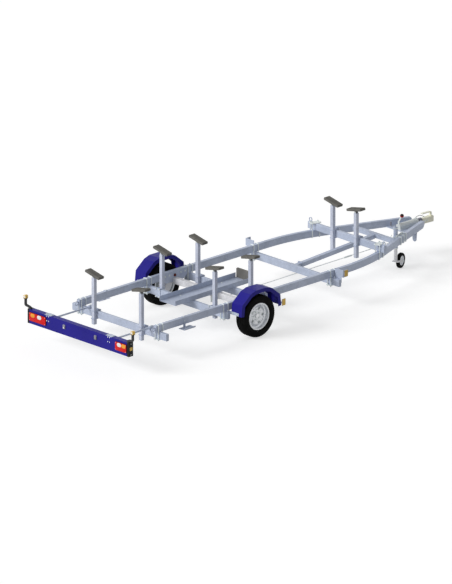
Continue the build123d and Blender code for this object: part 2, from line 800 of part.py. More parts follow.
with BuildPart() as light_board:
    with BuildSketch(Plane.XZ):
        with Locations((BOARD_X, BOARD_Z)):
            Rectangle(BOARD_DEPTH, BOARD_H, align=(Align.MIN, Align.MIN))
        with Locations((BOARD_X + BOARD_SHEET, BOARD_Z + BOARD_SHEET)):
            Rectangle(
                BOARD_DEPTH, BOARD_H - 2 * BOARD_SHEET, align=(Align.MIN, Align.MIN), mode=Mode.SUBTRACT
            )
    extrude(amount=BOARD_HALF, both=True)
    with BuildSketch(Plane.YZ.offset(BOARD_X)) as plate_seat:
        with Locations((PLATE_Y, BOARD_Z + BOARD_H / 2)):
            Rectangle(PLATE_SEAT_W, PLATE_SEAT_H)
    extrude(plate_seat.sketch, amount=-PLATE_SEAT_T)
keep(light_board, "light_board")

with BuildPart() as board_end_caps:
    for side in SIDES.values():
        with BuildSketch(Plane.XZ.offset(-side * BOARD_HALF)) as cap:
            with Locations((board_middle_x, BOARD_Z + BOARD_H / 2)):
                Rectangle(BOARD_DEPTH, BOARD_H)
        extrude(cap.sketch, amount=-side * END_CAP_T)
    fillet(board_end_caps.edges().filter_by(Axis.Y), END_CAP_ROUND)
keep(board_end_caps, "board_end_caps")

# Rods with the plate that bolts each one to the web and the tab over the board's upper flange
with BuildPart() as board_rods:
    web_front = BOARD_X + BOARD_SHEET
    for side in SIDES.values():
        with BuildSketch(Plane.YZ.offset(web_front)) as rod:
            with Locations((side * ROD_Y, ROD_Z)):
                Circle(ROD_R)
        extrude(rod.sketch, amount=ROD_FRONT_X - web_front)
        with BuildSketch(Plane.YZ.offset(web_front)) as rod_plate:
            with Locations((side * ROD_Y, BOARD_TOP_Z - BOARD_SHEET)):
                Rectangle(ROD_PLATE_Y, ROD_PLATE_Z, align=(Align.CENTER, Align.MAX))
        extrude(rod_plate.sketch, amount=PLATE)
        with Locations((board_middle_x, side * ROD_Y, BOARD_TOP_Z + ROD_TAB_T / 2)):
            Box(BOARD_DEPTH, ROD_TAB_Y, ROD_TAB_T)
        with Locations((board_front + ROD_TAB_T / 2, side * ROD_Y, (ROD_Z + BOARD_TOP_Z + ROD_TAB_T) / 2)):
            Box(ROD_TAB_T, ROD_PLATE_Y, BOARD_TOP_Z + ROD_TAB_T - ROD_Z)
keep(board_rods, "board_rods")

# Guide blocks on the rear beam, bored for the rods
with BuildPart() as rod_guides:
    guide_x = BEAMS["rear"].x - GUIDE_LENGTH / 2
    guide_floor = BEAMS["rear"].z + BEAM_H
    for side in SIDES.values():
        with BuildSketch(Plane.YZ.offset(guide_x)) as guide:
            with Locations((side * ROD_Y, ROD_Z)):
                Circle(GUIDE_W / 2)
            with Locations((side * ROD_Y, guide_floor)):
                Rectangle(GUIDE_W, ROD_Z - guide_floor, align=(Align.CENTER, Align.MIN))
            with Locations((side * ROD_Y, (guide_floor + ROD_Z - GUIDE_W / 2) / 2)):
                Rectangle(2 * GUIDE_W, guide_floor - (ROD_Z - GUIDE_W / 2), mode=Mode.SUBTRACT)
            with Locations((side * ROD_Y, ROD_Z)):
                Circle(ROD_R + GUIDE_GAP, mode=Mode.SUBTRACT)
        extrude(guide.sketch, amount=GUIDE_LENGTH)
keep(rod_guides, "rod_guides")

# Tail lamp clusters, the two number plate lamps and a reflector on each end cap
LampCluster = namedtuple("LampCluster", "side width")
with BuildPart() as rear_lamps:
    for lamp in (LampCluster(side=1, width=LAMP_LEFT_W), LampCluster(side=-1, width=LAMP_RIGHT_W)):
        with BuildSketch(Plane.YZ.offset(BOARD_X)) as lens:
            with Locations((lamp.side * (LAMP_OUT_Y - lamp.width / 2), LAMP_Z)):
                RectangleRounded(lamp.width, LAMP_H, LAMP_ROUND)
        extrude(lens.sketch, amount=-LAMP_T)
    for side in SIDES.values():
        with BuildSketch(Plane.YZ.offset(BOARD_X)) as hood:
            with Locations((PLATE_Y + side * PLATE_LAMP_OFF, LAMP_Z + PLATE_LAMP_RISE)):
                RectangleRounded(PLATE_LAMP_W, PLATE_LAMP_H, END_CAP_ROUND)
        extrude(hood.sketch, amount=-LAMP_T)
        with BuildSketch(Plane.XZ.offset(-side * (BOARD_HALF + END_CAP_T))) as reflex:
            with Locations((board_middle_x, LAMP_Z)):
                RectangleRounded(END_REFLECTOR_W, END_REFLECTOR_H, END_CAP_ROUND)
        extrude(reflex.sketch, amount=-side * END_REFLECTOR_T)
keep(rear_lamps, "rear_lamps")

# Bendy rubber arms: up from the board, outward, then up again to the marker lamps
arm_x = BOARD_X + ARM_IN
with BuildPart() as marker_arms:
    for side in SIDES.values():
        with BuildLine(Plane.YZ.offset(arm_x)) as arm_line:
            FilletPolyline(
                (side * ARM_FOOT_Y, BOARD_TOP_Z),
                (side * ARM_FOOT_Y, BOARD_TOP_Z + ARM_STEP),
                (side * ARM_TOP_Y, BOARD_TOP_Z + ARM_STEP + ARM_RISE),
                (side * ARM_TOP_Y, ARM_TOP_Z),
                radius=ARM_BEND_R,
            )
        with BuildSketch(Plane.XY.offset(BOARD_TOP_Z)) as arm_section:
            with Locations((arm_x, side * ARM_FOOT_Y)):
                Rectangle(ARM_DEPTH, ARM_WIDTH)
        sweep(arm_section.sketch, path=arm_line.line)
keep(marker_arms, "marker_arms")

with BuildPart() as marker_lamps:
    for side in SIDES.values():
        with BuildSketch(Plane.YZ.offset(arm_x - MARKER_T / 2)) as body:
            with Locations((side * ARM_TOP_Y, ARM_TOP_Z + MARKER_H / 2)):
                RectangleRounded(MARKER_W, MARKER_H, MARKER_ROUND)
        extrude(body.sketch, amount=MARKER_T)
keep(marker_lamps, "marker_lamps")

# ---------------------------------------------------------------- side reflectors

middle_front = BEAMS["middle"].x + BEAM_W / 2
fore_front = BEAMS["fore"].x + BEAM_W / 2
end_plate_out_y = BEAMS["middle"].half + END_PLATE_REACH
bar_out_y = FENDER_Y + FENDER_W - BAR_INSET
stay_out_y = FENDER_Y + STAY_REACH

# Stepped upright plates on the ends of the middle beam, with a flange turned forward,
# flat bars from the beam ahead of the axle that carry a reflector beside each fender,
# and the stays on the outer faces of the fenders' end panels
with BuildPart() as side_brackets:
    for side in SIDES.values():
        with BuildSketch(Plane.YZ.offset(middle_front)) as end_plate:
            with BuildLine():
                Polyline(
                    (side * BOLT_SIDE_Y, END_PLATE_LOW_Z),
                    (side * BOLT_SIDE_Y, END_PLATE_TOP_Z),
                    (side * end_plate_out_y, END_PLATE_TOP_Z),
                    (side * end_plate_out_y, END_PLATE_STEP_Z),
                    (side * BEAMS["middle"].half, END_PLATE_STEP_Z),
                    (side * BEAMS["middle"].half, END_PLATE_LOW_Z),
                    close=True,
                )
            make_face()
        extrude(end_plate.sketch, amount=PLATE)
        flange_y = sorted((side * end_plate_out_y, side * (end_plate_out_y - PLATE)))
        plate_block(
            (middle_front, flange_y[0], END_PLATE_STEP_Z),
            (middle_front + END_FLANGE_X, flange_y[1], END_PLATE_TOP_Z),
        )
        with BuildSketch(Plane.XY.offset(BAR_LOW_Z)) as bar:
            with BuildLine():
                Polyline(
                    (fore_front, side * BOLT_SIDE_Y),
                    (fore_front, side * bar_out_y),
                    (fore_front + BAR_REACH, side * bar_out_y),
                    (fore_front + BAR_REACH, side * (bar_out_y - BAR_T)),
                    (fore_front + BAR_T, side * (bar_out_y - BAR_T)),
                    (fore_front + BAR_T, side * BOLT_SIDE_Y),
                    close=True,
                )
            make_face()
        extrude(bar.sketch, amount=BAR_HIGH_Z - BAR_LOW_Z)
    for side in SIDES.values():
        for end, start_y in ((-1, BOLT_SIDE_Y), (1, BEAMS["fore"].half)):
            with BuildSketch(Plane.XZ.offset(-side * start_y)) as stay:
                with BuildLine():
                    Polyline(
                        (fender_end_x(STAY_LOW_Z, end), STAY_LOW_Z),
                        (fender_end_x(STAY_HIGH_Z, end), STAY_HIGH_Z),
                        (fender_end_x(STAY_HIGH_Z, end) + end * STAY_T, STAY_HIGH_Z),
                        (fender_end_x(STAY_LOW_Z, end) + end * STAY_T, STAY_LOW_Z),
                        close=True,
                    )
                make_face()
            extrude(stay.sketch, amount=-side * (stay_out_y - start_y))
        foot_y = sorted((side * BOLT_SIDE_Y, side * BEAMS["aft"].half))
        plate_block(
            (BEAMS["aft"].x + BEAM_W / 2, foot_y[0], STAY_LOW_Z),
            (fender_end_x(STAY_LOW_Z, -1), foot_y[1], RAIL_Z - BEAM_ROUND),
        )
keep(side_brackets, "side_brackets")

Reflector = namedtuple("Reflector", "x face_y z")
REFLECTORS = [
    Reflector(x=middle_front + END_FLANGE_X - REFLECTOR_W / 2, face_y=end_plate_out_y,
              z=(END_PLATE_STEP_Z + END_PLATE_TOP_Z) / 2),
    Reflector(x=fore_front + BAR_REACH - REFLECTOR_W / 2, face_y=bar_out_y, z=(BAR_LOW_Z + BAR_HIGH_Z) / 2),
]
with BuildPart() as side_reflectors:
    for reflector in REFLECTORS:
        for side in SIDES.values():
            with BuildSketch(Plane.XZ.offset(-side * reflector.face_y)) as lens:
                with Locations((reflector.x, reflector.z)):
                    RectangleRounded(REFLECTOR_W, REFLECTOR_H, END_CAP_ROUND)
            extrude(lens.sketch, amount=-side * REFLECTOR_T)
keep(side_reflectors, "side_reflectors")

# ---------------------------------------------------------------- steps and lashing eyes

rail_outer = RAIL_Y + RAIL_W / 2

with BuildPart() as steps:
    for side in SIDES.values():
        with BuildSketch(Plane.YZ.offset(STEP_X - STEP_LENGTH / 2)) as tread:
            with BuildLine():
                Polyline(
                    (side * rail_outer, STEP_Z),
                    (side * (rail_outer + STEP_W), STEP_Z),
                    (side * (rail_outer + STEP_W), STEP_Z + STEP_LIP),
                    (side * (rail_outer + STEP_W - STEP_T), STEP_Z + STEP_LIP),
                    (side * (rail_outer + STEP_W - STEP_T), STEP_Z + STEP_T),
                    (side * rail_outer, STEP_Z + STEP_T),
                    close=True,
                )
            make_face()
        extrude(tread.sketch, amount=STEP_LENGTH)
        with BuildSketch(Plane.YZ.offset(STEP_X - STRAP_W / 2)) as hook:
            with BuildLine():
                Polyline(
                    (side * rail_outer, STEP_Z),
                    (side * (rail_outer + STRAP_T), STEP_Z),
                    (side * (rail_outer + STRAP_T), RAIL_TOP_Z + STRAP_T),
                    (side * (RAIL_Y - RAIL_W / 4), RAIL_TOP_Z + STRAP_T),
                    (side * (RAIL_Y - RAIL_W / 4), RAIL_TOP_Z),
                    (side * rail_outer, RAIL_TOP_Z),
                    close=True,
                )
            make_face()
        extrude(hook.sketch, amount=STRAP_W)
keep(steps, "steps")

# Lashing eyes: flat rings with a foot, on the bow beam's ends and on the rails' rear ends


def lashing_eye(seat):
    """A flat ring with a foot, standing on the origin of `seat` towards its +Y."""
    with BuildSketch(seat) as ring:
        with Locations((0, EYE_R)):
            Circle(EYE_R)
            Circle(EYE_R - EYE_WIRE, mode=Mode.SUBTRACT)
        Rectangle(EYE_FOOT, EYE_WIRE, align=(Align.CENTER, Align.MIN))
    extrude(ring.sketch, amount=EYE_WIRE / 2, both=True)


bow_beam = BEAMS["bow"]
with BuildPart() as lashing_eyes:
    for side in SIDES.values():
        bow_seat = (bow_beam.x, side * (bow_beam.half - EYE_R), bow_beam.z + BEAM_H)
        rear_seat = (RAIL_REAR_X, side * RAIL_Y, RAIL_Z + RAIL_H / 2)
        lashing_eye(Plane(origin=bow_seat, x_dir=(0, 1, 0), z_dir=(1, 0, 0)))
        lashing_eye(Plane(origin=rear_seat, x_dir=(0, 0, -1), z_dir=(0, 1, 0)))
keep(lashing_eyes, "lashing_eyes")


# ---------------------------------------------------------------- overrun device and coupling

bracket_top = DRAW_Z - HOUSING_R
bracket_floor = bracket_top - OVERRUN_FLOOR_T

# Plate across the rails, its edges cut to their inboard faces, with the tapered brake lever
# that hangs at its front edge
with BuildPart() as overrun_bracket:
    with BuildSketch(Plane.XY.offset(bracket_floor)):
        with BuildLine():
            Polyline(
                (OVERRUN_REAR_X, rail_inner_y(OVERRUN_REAR_X)),
                (OVERRUN_FRONT_X, rail_inner_y(OVERRUN_FRONT_X)),
                (OVERRUN_FRONT_X, -rail_inner_y(OVERRUN_FRONT_X)),
                (OVERRUN_REAR_X, -rail_inner_y(OVERRUN_REAR_X)),
                close=True,
            )
        make_face()
    extrude(amount=OVERRUN_FLOOR_T)
    with BuildSketch(Plane.YZ.offset(OVERRUN_FRONT_X)) as lever_plate:
        with Locations((0, LEVER_PLATE_Z + LEVER_PLATE_TIP_R)):
            Circle(LEVER_PLATE_TIP_R)
        with Locations((0, bracket_floor)):
            Rectangle(LEVER_PLATE_W, LEVER_PLATE_T, align=(Align.CENTER, Align.MAX))
        make_hull(lever_plate.edges())
    extrude(lever_plate.sketch, amount=-LEVER_PLATE_T)
keep(overrun_bracket, "overrun_bracket")

with BuildPart() as overrun_housing:
    with BuildSketch(Plane.YZ.offset(HOUSING_REAR_X)) as barrel:
        with Locations((0, DRAW_Z)):
            Circle(HOUSING_R)
        with Locations((0, bracket_top)):
            Rectangle(HOUSING_FOOT_W, HOUSING_FOOT_H, align=(Align.CENTER, Align.MIN))
    extrude(barrel.sketch, amount=HOUSING_FRONT_X - HOUSING_REAR_X)
    with BuildSketch(Plane.YZ.offset(HOUSING_FRONT_X - COLLAR_LENGTH)) as collar:
        with Locations((0, DRAW_Z)):
            Circle(COLLAR_R)
            Circle(HOUSING_R / 2, mode=Mode.SUBTRACT)
        with Locations((0, bracket_top - COLLAR_R)):
            Rectangle(2 * COLLAR_R, COLLAR_R, align=(Align.CENTER, Align.MIN), mode=Mode.SUBTRACT)
    extrude(collar.sketch, amount=COLLAR_LENGTH)
keep(overrun_housing, "overrun_housing")

bellows_back = HOUSING_FRONT_X
fold_points = []
for fold in range(BELLOWS_FOLDS):
    start = bellows_back + fold * BELLOWS_FOLD
    fold_points += [(start, BELLOWS_ROOT_R), (start + BELLOWS_FOLD / 2, BELLOWS_R)]
bellows_front = bellows_back + BELLOWS_FOLDS * BELLOWS_FOLD

with BuildPart() as bellows:
    with BuildSketch(Plane(origin=(0, 0, DRAW_Z), x_dir=(1, 0, 0), z_dir=(0, -1, 0))):
        with BuildLine():
            Polyline(
                (bellows_back, DRAW_TUBE_R + BEAD_GAP),
                *fold_points,
                (bellows_front, BELLOWS_ROOT_R),
                (bellows_front, DRAW_TUBE_R + BEAD_GAP),
                close=True,
            )
        make_face()
    revolve(axis=Axis((0, 0, DRAW_Z), (1, 0, 0)))
keep(bellows, "bellows")

ball_x = NOSE_X - COUPLING_NOSE_R

with BuildPart() as coupling_head:
    with BuildSketch(Plane.XY.offset(COUPLING_Z)) as head:
        with Locations((ball_x, 0)):
            Circle(COUPLING_NOSE_R)
        with Locations((COUPLING_REAR_X, 0)):
            Rectangle(COUPLING_NOSE_R, NECK_W, align=(Align.MIN, Align.CENTER))
        make_hull(head.edges())
    extrude(amount=COUPLING_TOP_Z - COUPLING_Z)
    fillet(coupling_head.edges().group_by(Axis.Z)[-1], COUPLING_ROUND)
    with Locations((ball_x, 0, SOCKET_Z)):
        Sphere(SOCKET_R, mode=Mode.SUBTRACT)
    with Locations((ball_x, 0, SOCKET_Z)):
        Cylinder(
            SOCKET_R,
            SOCKET_Z - COUPLING_Z,
            align=(Align.CENTER, Align.CENTER, Align.MAX),
            mode=Mode.SUBTRACT,
        )
    with BuildSketch(Plane.YZ.offset(HOUSING_FRONT_X)) as draw_tube:
        with Locations((0, DRAW_Z)):
            Circle(DRAW_TUBE_R)
    extrude(draw_tube.sketch, amount=COUPLING_REAR_X - HOUSING_FRONT_X)
keep(coupling_head, "coupling_head")


def bent_bar(points, bend_radius, thickness, width):
    """A flat bar of even thickness that follows bent lines in the trailer's middle plane."""
    with BuildLine(Plane.XZ) as route:
        FilletPolyline(*points, radius=bend_radius)
    with BuildSketch(Plane(origin=route.line @ 0, x_dir=(0, 1, 0), z_dir=route.line % 0)) as bar_section:
        Rectangle(width, thickness)
    sweep(bar_section.sketch, path=route.line)


with BuildPart() as coupling_handle:
    bent_bar(
        [
            (ball_x, COUPLING_TOP_Z),
            (ball_x, HANDLE_TOP_Z),
            (COUPLING_REAR_X, HANDLE_TOP_Z + 4),
        ],
        HANDLE_BEND_R,
        HANDLE_T,
        HANDLE_W,
    )
keep(coupling_handle, "coupling_handle")

with BuildPart() as breakaway_cable:
    with BuildLine(Plane.XZ) as cable_line:
        ThreePointArc(
            (CABLE_REAR_X, DRAW_Z + COLLAR_R + CABLE_R),
            ((CABLE_REAR_X + CABLE_FRONT_X) / 2, CABLE_TOP_Z),
            (CABLE_FRONT_X, COUPLING_TOP_Z + CABLE_R),
        )
    with BuildSketch(Plane(origin=cable_line.line @ 0, z_dir=cable_line.line % 0)) as cable_section:
        Circle(CABLE_R)
    sweep(cable_section.sketch, path=cable_line.line)
keep(breakaway_cable, "breakaway_cable")

with BuildPart() as handbrake_lever:
    bent_bar(
        [(LEVER_X, DRAW_Z + HOUSING_R), (LEVER_X, LEVER_BEND_Z), (KNOB_X, KNOB_Z)],
        LEVER_BEND_R,
        LEVER_T,
        LEVER_W,
    )
    with Locations((KNOB_X, 0, KNOB_Z)):
        Sphere(KNOB_R)
keep(handbrake_lever, "handbrake_lever")

# Brake rod with its adjuster, from the plate under the axle tube to the brake lever
rod_front_x = OVERRUN_FRONT_X - LEVER_PLATE_T - BRAKE_ROD_GAP
rod_rise = math.degrees(math.atan((BRAKE_ROD_FRONT_Z - BRAKE_ROD_REAR_Z) / (rod_front_x - AXLE_X)))
rod_line = Plane(
    origin=(AXLE_X, 0, BRAKE_ROD_REAR_Z),
    x_dir=(0, 1, 0),
    z_dir=(math.cos(math.radians(rod_rise)), 0, math.sin(math.radians(rod_rise))),
)
rod_length = (rod_front_x - AXLE_X) / math.cos(math.radians(rod_rise))
adjuster_start = (ADJUSTER_X - AXLE_X) / math.cos(math.radians(rod_rise)) - ADJUSTER_LENGTH / 2
with BuildPart() as brake_rod:
    with BuildSketch(rod_line) as rod:
        Circle(BRAKE_ROD_R)
    extrude(rod.sketch, amount=rod_length)
    with BuildSketch(rod_line.offset(adjuster_start)) as adjuster:
        Circle(ADJUSTER_R)
    extrude(adjuster.sketch, amount=ADJUSTER_LENGTH)
    plate_block(
        (AXLE_X - BRAKE_PLATE_W / 2, -BRAKE_PLATE_T / 2, BRAKE_ROD_REAR_Z - BRAKE_PLATE_W / 2),
        (AXLE_X + BRAKE_PLATE_W / 2, BRAKE_PLATE_T / 2, RAIL_Z - AXLE_W),
    )
keep(brake_rod, "brake_rod")

# ---------------------------------------------------------------- jockey wheel

# Local x runs forward along the right rail, local y points from that rail to the middle
jockey_plane = Plane(
    origin=(JOCKEY_X, JOCKEY_Y, 0),
    x_dir=(math.cos(math.radians(JOCKEY_TURN)), math.sin(math.radians(JOCKEY_TURN)), 0),
    z_dir=(0, 0, 1),
)
rail_face = -JOCKEY_STANDOFF

with BuildPart() as jockey_clamp:
    with BuildSketch(jockey_plane.offset(CLAMP_LOW_Z)) as saddle:
        Circle(CLAMP_R)
        with Locations((0, rail_face)):
            Rectangle(2 * CLAMP_R, -rail_face, align=(Align.CENTER, Align.MIN))
        Circle(JOCKEY_OUTER_R + BEAD_GAP, mode=Mode.SUBTRACT)
    extrude(saddle.sketch, amount=CLAMP_HIGH_Z - CLAMP_LOW_Z)
    with BuildSketch(jockey_plane.offset(RAIL_Z - 2 * U_WIRE)) as base:
        with Locations(((CLAMP_BOLTS[0] + CLAMP_BOLTS[-1]) / 2, rail_face)):
            Rectangle(
                CLAMP_BOLTS[-1] - CLAMP_BOLTS[0] + 3 * U_WIRE, PLATE, align=(Align.CENTER, Align.MIN)
            )
    extrude(base.sketch, amount=RAIL_H + 4 * U_WIRE)
    for along in CLAMP_BOLTS:
        u_bolt(
            Plane(
                origin=jockey_plane.from_local_coords((along, rail_face - RAIL_W, RAIL_Z + RAIL_H / 2)),
                x_dir=(0, 0, 1),
                z_dir=jockey_plane.x_dir,
            ),
            RAIL_H,
            RAIL_W + PLATE + U_THREAD,
        )
keep(jockey_clamp, "jockey_clamp")

inner_low = JOCKEY_CROWN_Z + JOCKEY_FOOT_T + JOCKEY_GAP

# Outer tube, closed on top, with its crank
with BuildPart() as jockey_outer_tube:
    with Locations((JOCKEY_X, JOCKEY_Y, JOCKEY_LOW_Z)):
        Cylinder(
            JOCKEY_OUTER_R, JOCKEY_TOP_Z - JOCKEY_LOW_Z, align=(Align.CENTER, Align.CENTER, Align.MIN)
        )
        Cylinder(
            JOCKEY_OUTER_R - JOCKEY_WALL,
            JOCKEY_TOP_Z - JOCKEY_LOW_Z - JOCKEY_WALL,
            align=(Align.CENTER, Align.CENTER, Align.MIN),
            mode=Mode.SUBTRACT,
        )
    with BuildLine(Plane.XZ.offset(-JOCKEY_Y)) as crank_line:
        FilletPolyline(
            (JOCKEY_X, JOCKEY_TOP_Z),
            (JOCKEY_X, JOCKEY_TOP_Z + CRANK_RISE),
            (JOCKEY_X - CRANK_REACH, JOCKEY_TOP_Z + CRANK_RISE),
            (JOCKEY_X - CRANK_REACH, JOCKEY_TOP_Z + CRANK_RISE + CRANK_GRIP),
            radius=CRANK_BEND_R,
        )
    with BuildSketch(Plane.XY.offset(JOCKEY_TOP_Z)) as crank_section:
        with Locations((JOCKEY_X, JOCKEY_Y)):
            Circle(CRANK_R)
    sweep(crank_section.sketch, path=crank_line.line)
keep(jockey_outer_tube, "jockey_outer_tube")

with BuildPart() as jockey_inner_tube:
    with Locations((JOCKEY_X, JOCKEY_Y, inner_low)):
        Cylinder(
            JOCKEY_INNER_R, JOCKEY_INNER_TOP_Z - inner_low, align=(Align.CENTER, Align.CENTER, Align.MIN)
        )
        Cylinder(
            JOCKEY_PIN_R + BEAD_GAP,
            KINGPIN_LENGTH + JOCKEY_GAP,
            align=(Align.CENTER, Align.CENTER, Align.MIN),
            mode=Mode.SUBTRACT,
        )
keep(jockey_inner_tube, "jockey_inner_tube")

crown_half = FORK_INSIDE / 2 + FORK_T

# The wheel trails forward along the rail: local x runs that way, local y is up
fork_side = Plane(origin=jockey_plane.origin, x_dir=jockey_plane.x_dir, z_dir=-jockey_plane.y_dir)

with BuildPart() as jockey_fork:
    with BuildSketch(jockey_plane.offset(JOCKEY_CROWN_Z)) as crown:
        Rectangle(2 * CROWN_REACH, 2 * crown_half)
    extrude(crown.sketch, amount=JOCKEY_FOOT_T)
    crown_top = JOCKEY_CROWN_Z + JOCKEY_FOOT_T
    with Locations((JOCKEY_X, JOCKEY_Y, crown_top)):
        Cylinder(JOCKEY_PIN_R, KINGPIN_LENGTH, align=(Align.CENTER, Align.CENTER, Align.MIN))
    for side in SIDES.values():
        with BuildSketch(fork_side.offset(-side * FORK_INSIDE / 2)) as cheek:
            with Locations((JOCKEY_TRAIL, JOCKEY_TYRE_R)):
                Circle(FORK_END_R)
            with Locations((0, crown_top)):
                Rectangle(2 * CROWN_REACH, JOCKEY_FOOT_T, align=(Align.CENTER, Align.MAX))
            make_hull(cheek.edges())
        extrude(cheek.sketch, amount=-side * FORK_T)
    with BuildSketch(fork_side.offset(-crown_half)) as roller_pin:
        with Locations((JOCKEY_TRAIL, JOCKEY_TYRE_R)):
            Circle(JOCKEY_PIN_R)
    extrude(roller_pin.sketch, amount=2 * crown_half)
keep(jockey_fork, "jockey_fork")

# Local x runs across the roller, local y is the radius
roller_middle = jockey_plane.from_local_coords((JOCKEY_TRAIL, 0, JOCKEY_TYRE_R))
roller = Plane(origin=roller_middle, x_dir=jockey_plane.y_dir, z_dir=jockey_plane.x_dir)
roller_axis = Axis(roller_middle, jockey_plane.y_dir)
roller_half = JOCKEY_TYRE_W / 2

with BuildPart() as jockey_rim:
    with BuildSketch(roller):
        with BuildLine():
            Polyline(
                (-roller_half, JOCKEY_PIN_R + BEAD_GAP),
                (-roller_half, ROLLER_HUB_R),
                (-ROLLER_WEB / 2, ROLLER_HUB_R + ROLLER_SLOPE),
                (-ROLLER_WEB / 2, JOCKEY_RIM_R - ROLLER_SLOPE),
                (-ROLLER_RIM_HALF, JOCKEY_RIM_R - ROLLER_SLOPE / 2),
                (-ROLLER_RIM_HALF, JOCKEY_RIM_R),
                (ROLLER_RIM_HALF, JOCKEY_RIM_R),
                (ROLLER_RIM_HALF, JOCKEY_RIM_R - ROLLER_SLOPE / 2),
                (ROLLER_WEB / 2, JOCKEY_RIM_R - ROLLER_SLOPE),
                (ROLLER_WEB / 2, ROLLER_HUB_R + ROLLER_SLOPE),
                (roller_half, ROLLER_HUB_R),
                (roller_half, JOCKEY_PIN_R + BEAD_GAP),
                close=True,
            )
        make_face()
    revolve(axis=roller_axis)
keep(jockey_rim, "jockey_rim")

with BuildPart() as jockey_tyre:
    with BuildSketch(roller):
        with BuildLine():
            Polyline(
                (-ROLLER_RIM_HALF, JOCKEY_RIM_R + BEAD_GAP),
                (-roller_half, JOCKEY_RIM_R + ROLLER_SLOPE),
                (-roller_half, JOCKEY_TYRE_R - ROLLER_SLOPE),
                (-ROLLER_CROWN_HALF, JOCKEY_TYRE_R),
                (ROLLER_CROWN_HALF, JOCKEY_TYRE_R),
                (roller_half, JOCKEY_TYRE_R - ROLLER_SLOPE),
                (roller_half, JOCKEY_RIM_R + ROLLER_SLOPE),
                (ROLLER_RIM_HALF, JOCKEY_RIM_R + BEAD_GAP),
                close=True,
            )
        make_face()
    revolve(axis=roller_axis)
keep(jockey_tyre, "jockey_tyre")
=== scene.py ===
import json
import math

import bmesh
import bpy
from mathutils import Matrix, Vector


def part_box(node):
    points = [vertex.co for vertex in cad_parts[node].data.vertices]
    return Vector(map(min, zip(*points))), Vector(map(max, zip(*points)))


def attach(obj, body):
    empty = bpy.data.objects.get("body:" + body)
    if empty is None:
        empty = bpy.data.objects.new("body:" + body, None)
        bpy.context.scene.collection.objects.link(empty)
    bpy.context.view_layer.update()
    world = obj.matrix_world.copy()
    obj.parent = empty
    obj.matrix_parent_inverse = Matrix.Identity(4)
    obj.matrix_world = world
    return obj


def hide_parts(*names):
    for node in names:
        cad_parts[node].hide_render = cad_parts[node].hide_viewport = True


# Boat trailer: finishes, small fasteners, tread, lenses and studio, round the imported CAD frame.
# Metres. +X is forward, +Y is the left side, +Z is up, and the origin is on the ground at mid-length.

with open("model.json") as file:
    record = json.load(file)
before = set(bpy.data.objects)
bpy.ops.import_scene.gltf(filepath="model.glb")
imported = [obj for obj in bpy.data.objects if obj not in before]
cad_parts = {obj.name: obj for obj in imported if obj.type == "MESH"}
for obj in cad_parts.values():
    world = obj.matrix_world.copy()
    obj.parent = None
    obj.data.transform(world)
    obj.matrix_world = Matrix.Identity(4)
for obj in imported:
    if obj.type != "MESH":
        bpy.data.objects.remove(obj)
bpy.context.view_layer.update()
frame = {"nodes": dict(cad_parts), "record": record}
NODES = frame["nodes"]
SIDES = {"left": 1, "right": -1}
STATIONS = ("rear", "aft", "fore", "bow")

# -------------------------------- colours (linear): light tone, dark tone

ZINC = (0.53, 0.59, 0.73), (0.45, 0.51, 0.64)
# The posts' zinc is the galvanised zinc made about a tenth lighter: painted light for the light their faces
# catch
POST_ZINC_PAINTED_LIGHT = (0.63, 0.67, 0.79), (0.54, 0.58, 0.69)
PALE_ZINC = (0.84, 0.84, 0.86), (0.70, 0.70, 0.73)
BRIGHT_ZINC = (0.84, 0.89, 0.88), (0.70, 0.75, 0.76)
HOUSING_ZINC = (0.72, 0.76, 0.76), (0.60, 0.64, 0.65)
CREAM_ZINC = (0.97, 0.96, 0.80), (0.90, 0.89, 0.72)
BLUE = (0.018, 0.014, 0.240), (0.013, 0.010, 0.190)
WHEEL_SILVER = (0.80, 0.82, 0.85), (0.70, 0.72, 0.75)
CAP_METAL = (0.70, 0.71, 0.72), (0.58, 0.59, 0.61)
PRIMER_RED = (0.16, 0.035, 0.022), (0.09, 0.020, 0.014)
KNOB_RED = (0.45, 0.010, 0.010), (0.30, 0.008, 0.008)
BLACK_RUBBER = (0.050, 0.050, 0.053), (0.035, 0.035, 0.0371)
BLACK_PLASTIC = (0.012, 0.012, 0.013), (0.008, 0.008, 0.008)
LAMP_GREY = (0.27, 0.27, 0.32), (0.21, 0.21, 0.25)
CABLE_GREY = (0.40, 0.40, 0.41), (0.32, 0.32, 0.33)
PAD_GREY = (0.175, 0.170, 0.155), (0.130, 0.126, 0.115)
TYRE_DUST, TYRE_BLACK = (0.010, 0.010, 0.010), (0.006, 0.006, 0.006)

# Lamp and reflector plastics, one tone each
RED = (0.72, 0.008, 0.008)
AMBER = (0.95, 0.40, 0.04)
GOLD = (0.92, 0.60, 0.13)
CLEAR = (0.90, 0.90, 0.88)

# -------------------------------- materials


def nodes_of(name):
    """A new material with its node tree, its Principled shader and object coordinates."""
    material = bpy.data.materials.new(name)
    material.use_nodes = True
    tree = material.node_tree
    shader = tree.nodes["Principled BSDF"]
    place = tree.nodes.new("ShaderNodeTexCoord")
    return material, tree, shader, place.outputs["Object"]


def noise(tree, place, scale, detail=3.0, stretch=(1, 1, 1)):
    """A noise value in object space, with its features stretched by `stretch`."""
    mapping = tree.nodes.new("ShaderNodeMapping")
    mapping.inputs["Scale"].default_value = stretch
    tree.links.new(place, mapping.inputs["Vector"])
    texture = tree.nodes.new("ShaderNodeTexNoise")
    texture.inputs["Scale"].default_value = scale
    texture.inputs["Detail"].default_value = detail
    tree.links.new(mapping.outputs["Vector"], texture.inputs["Vector"])
    return texture.outputs["Fac"]


def ramp(tree, value, low, high, start=0.35, end=0.65):
    """Maps a value between two positions onto two colours."""
    node = tree.nodes.new("ShaderNodeValToRGB")
    node.color_ramp.elements[0].position = start
    node.color_ramp.elements[1].position = end
    node.color_ramp.elements[0].color = (*low, 1)
    node.color_ramp.elements[1].color = (*high, 1)
    tree.links.new(value, node.inputs["Fac"])
    return node.outputs["Color"]


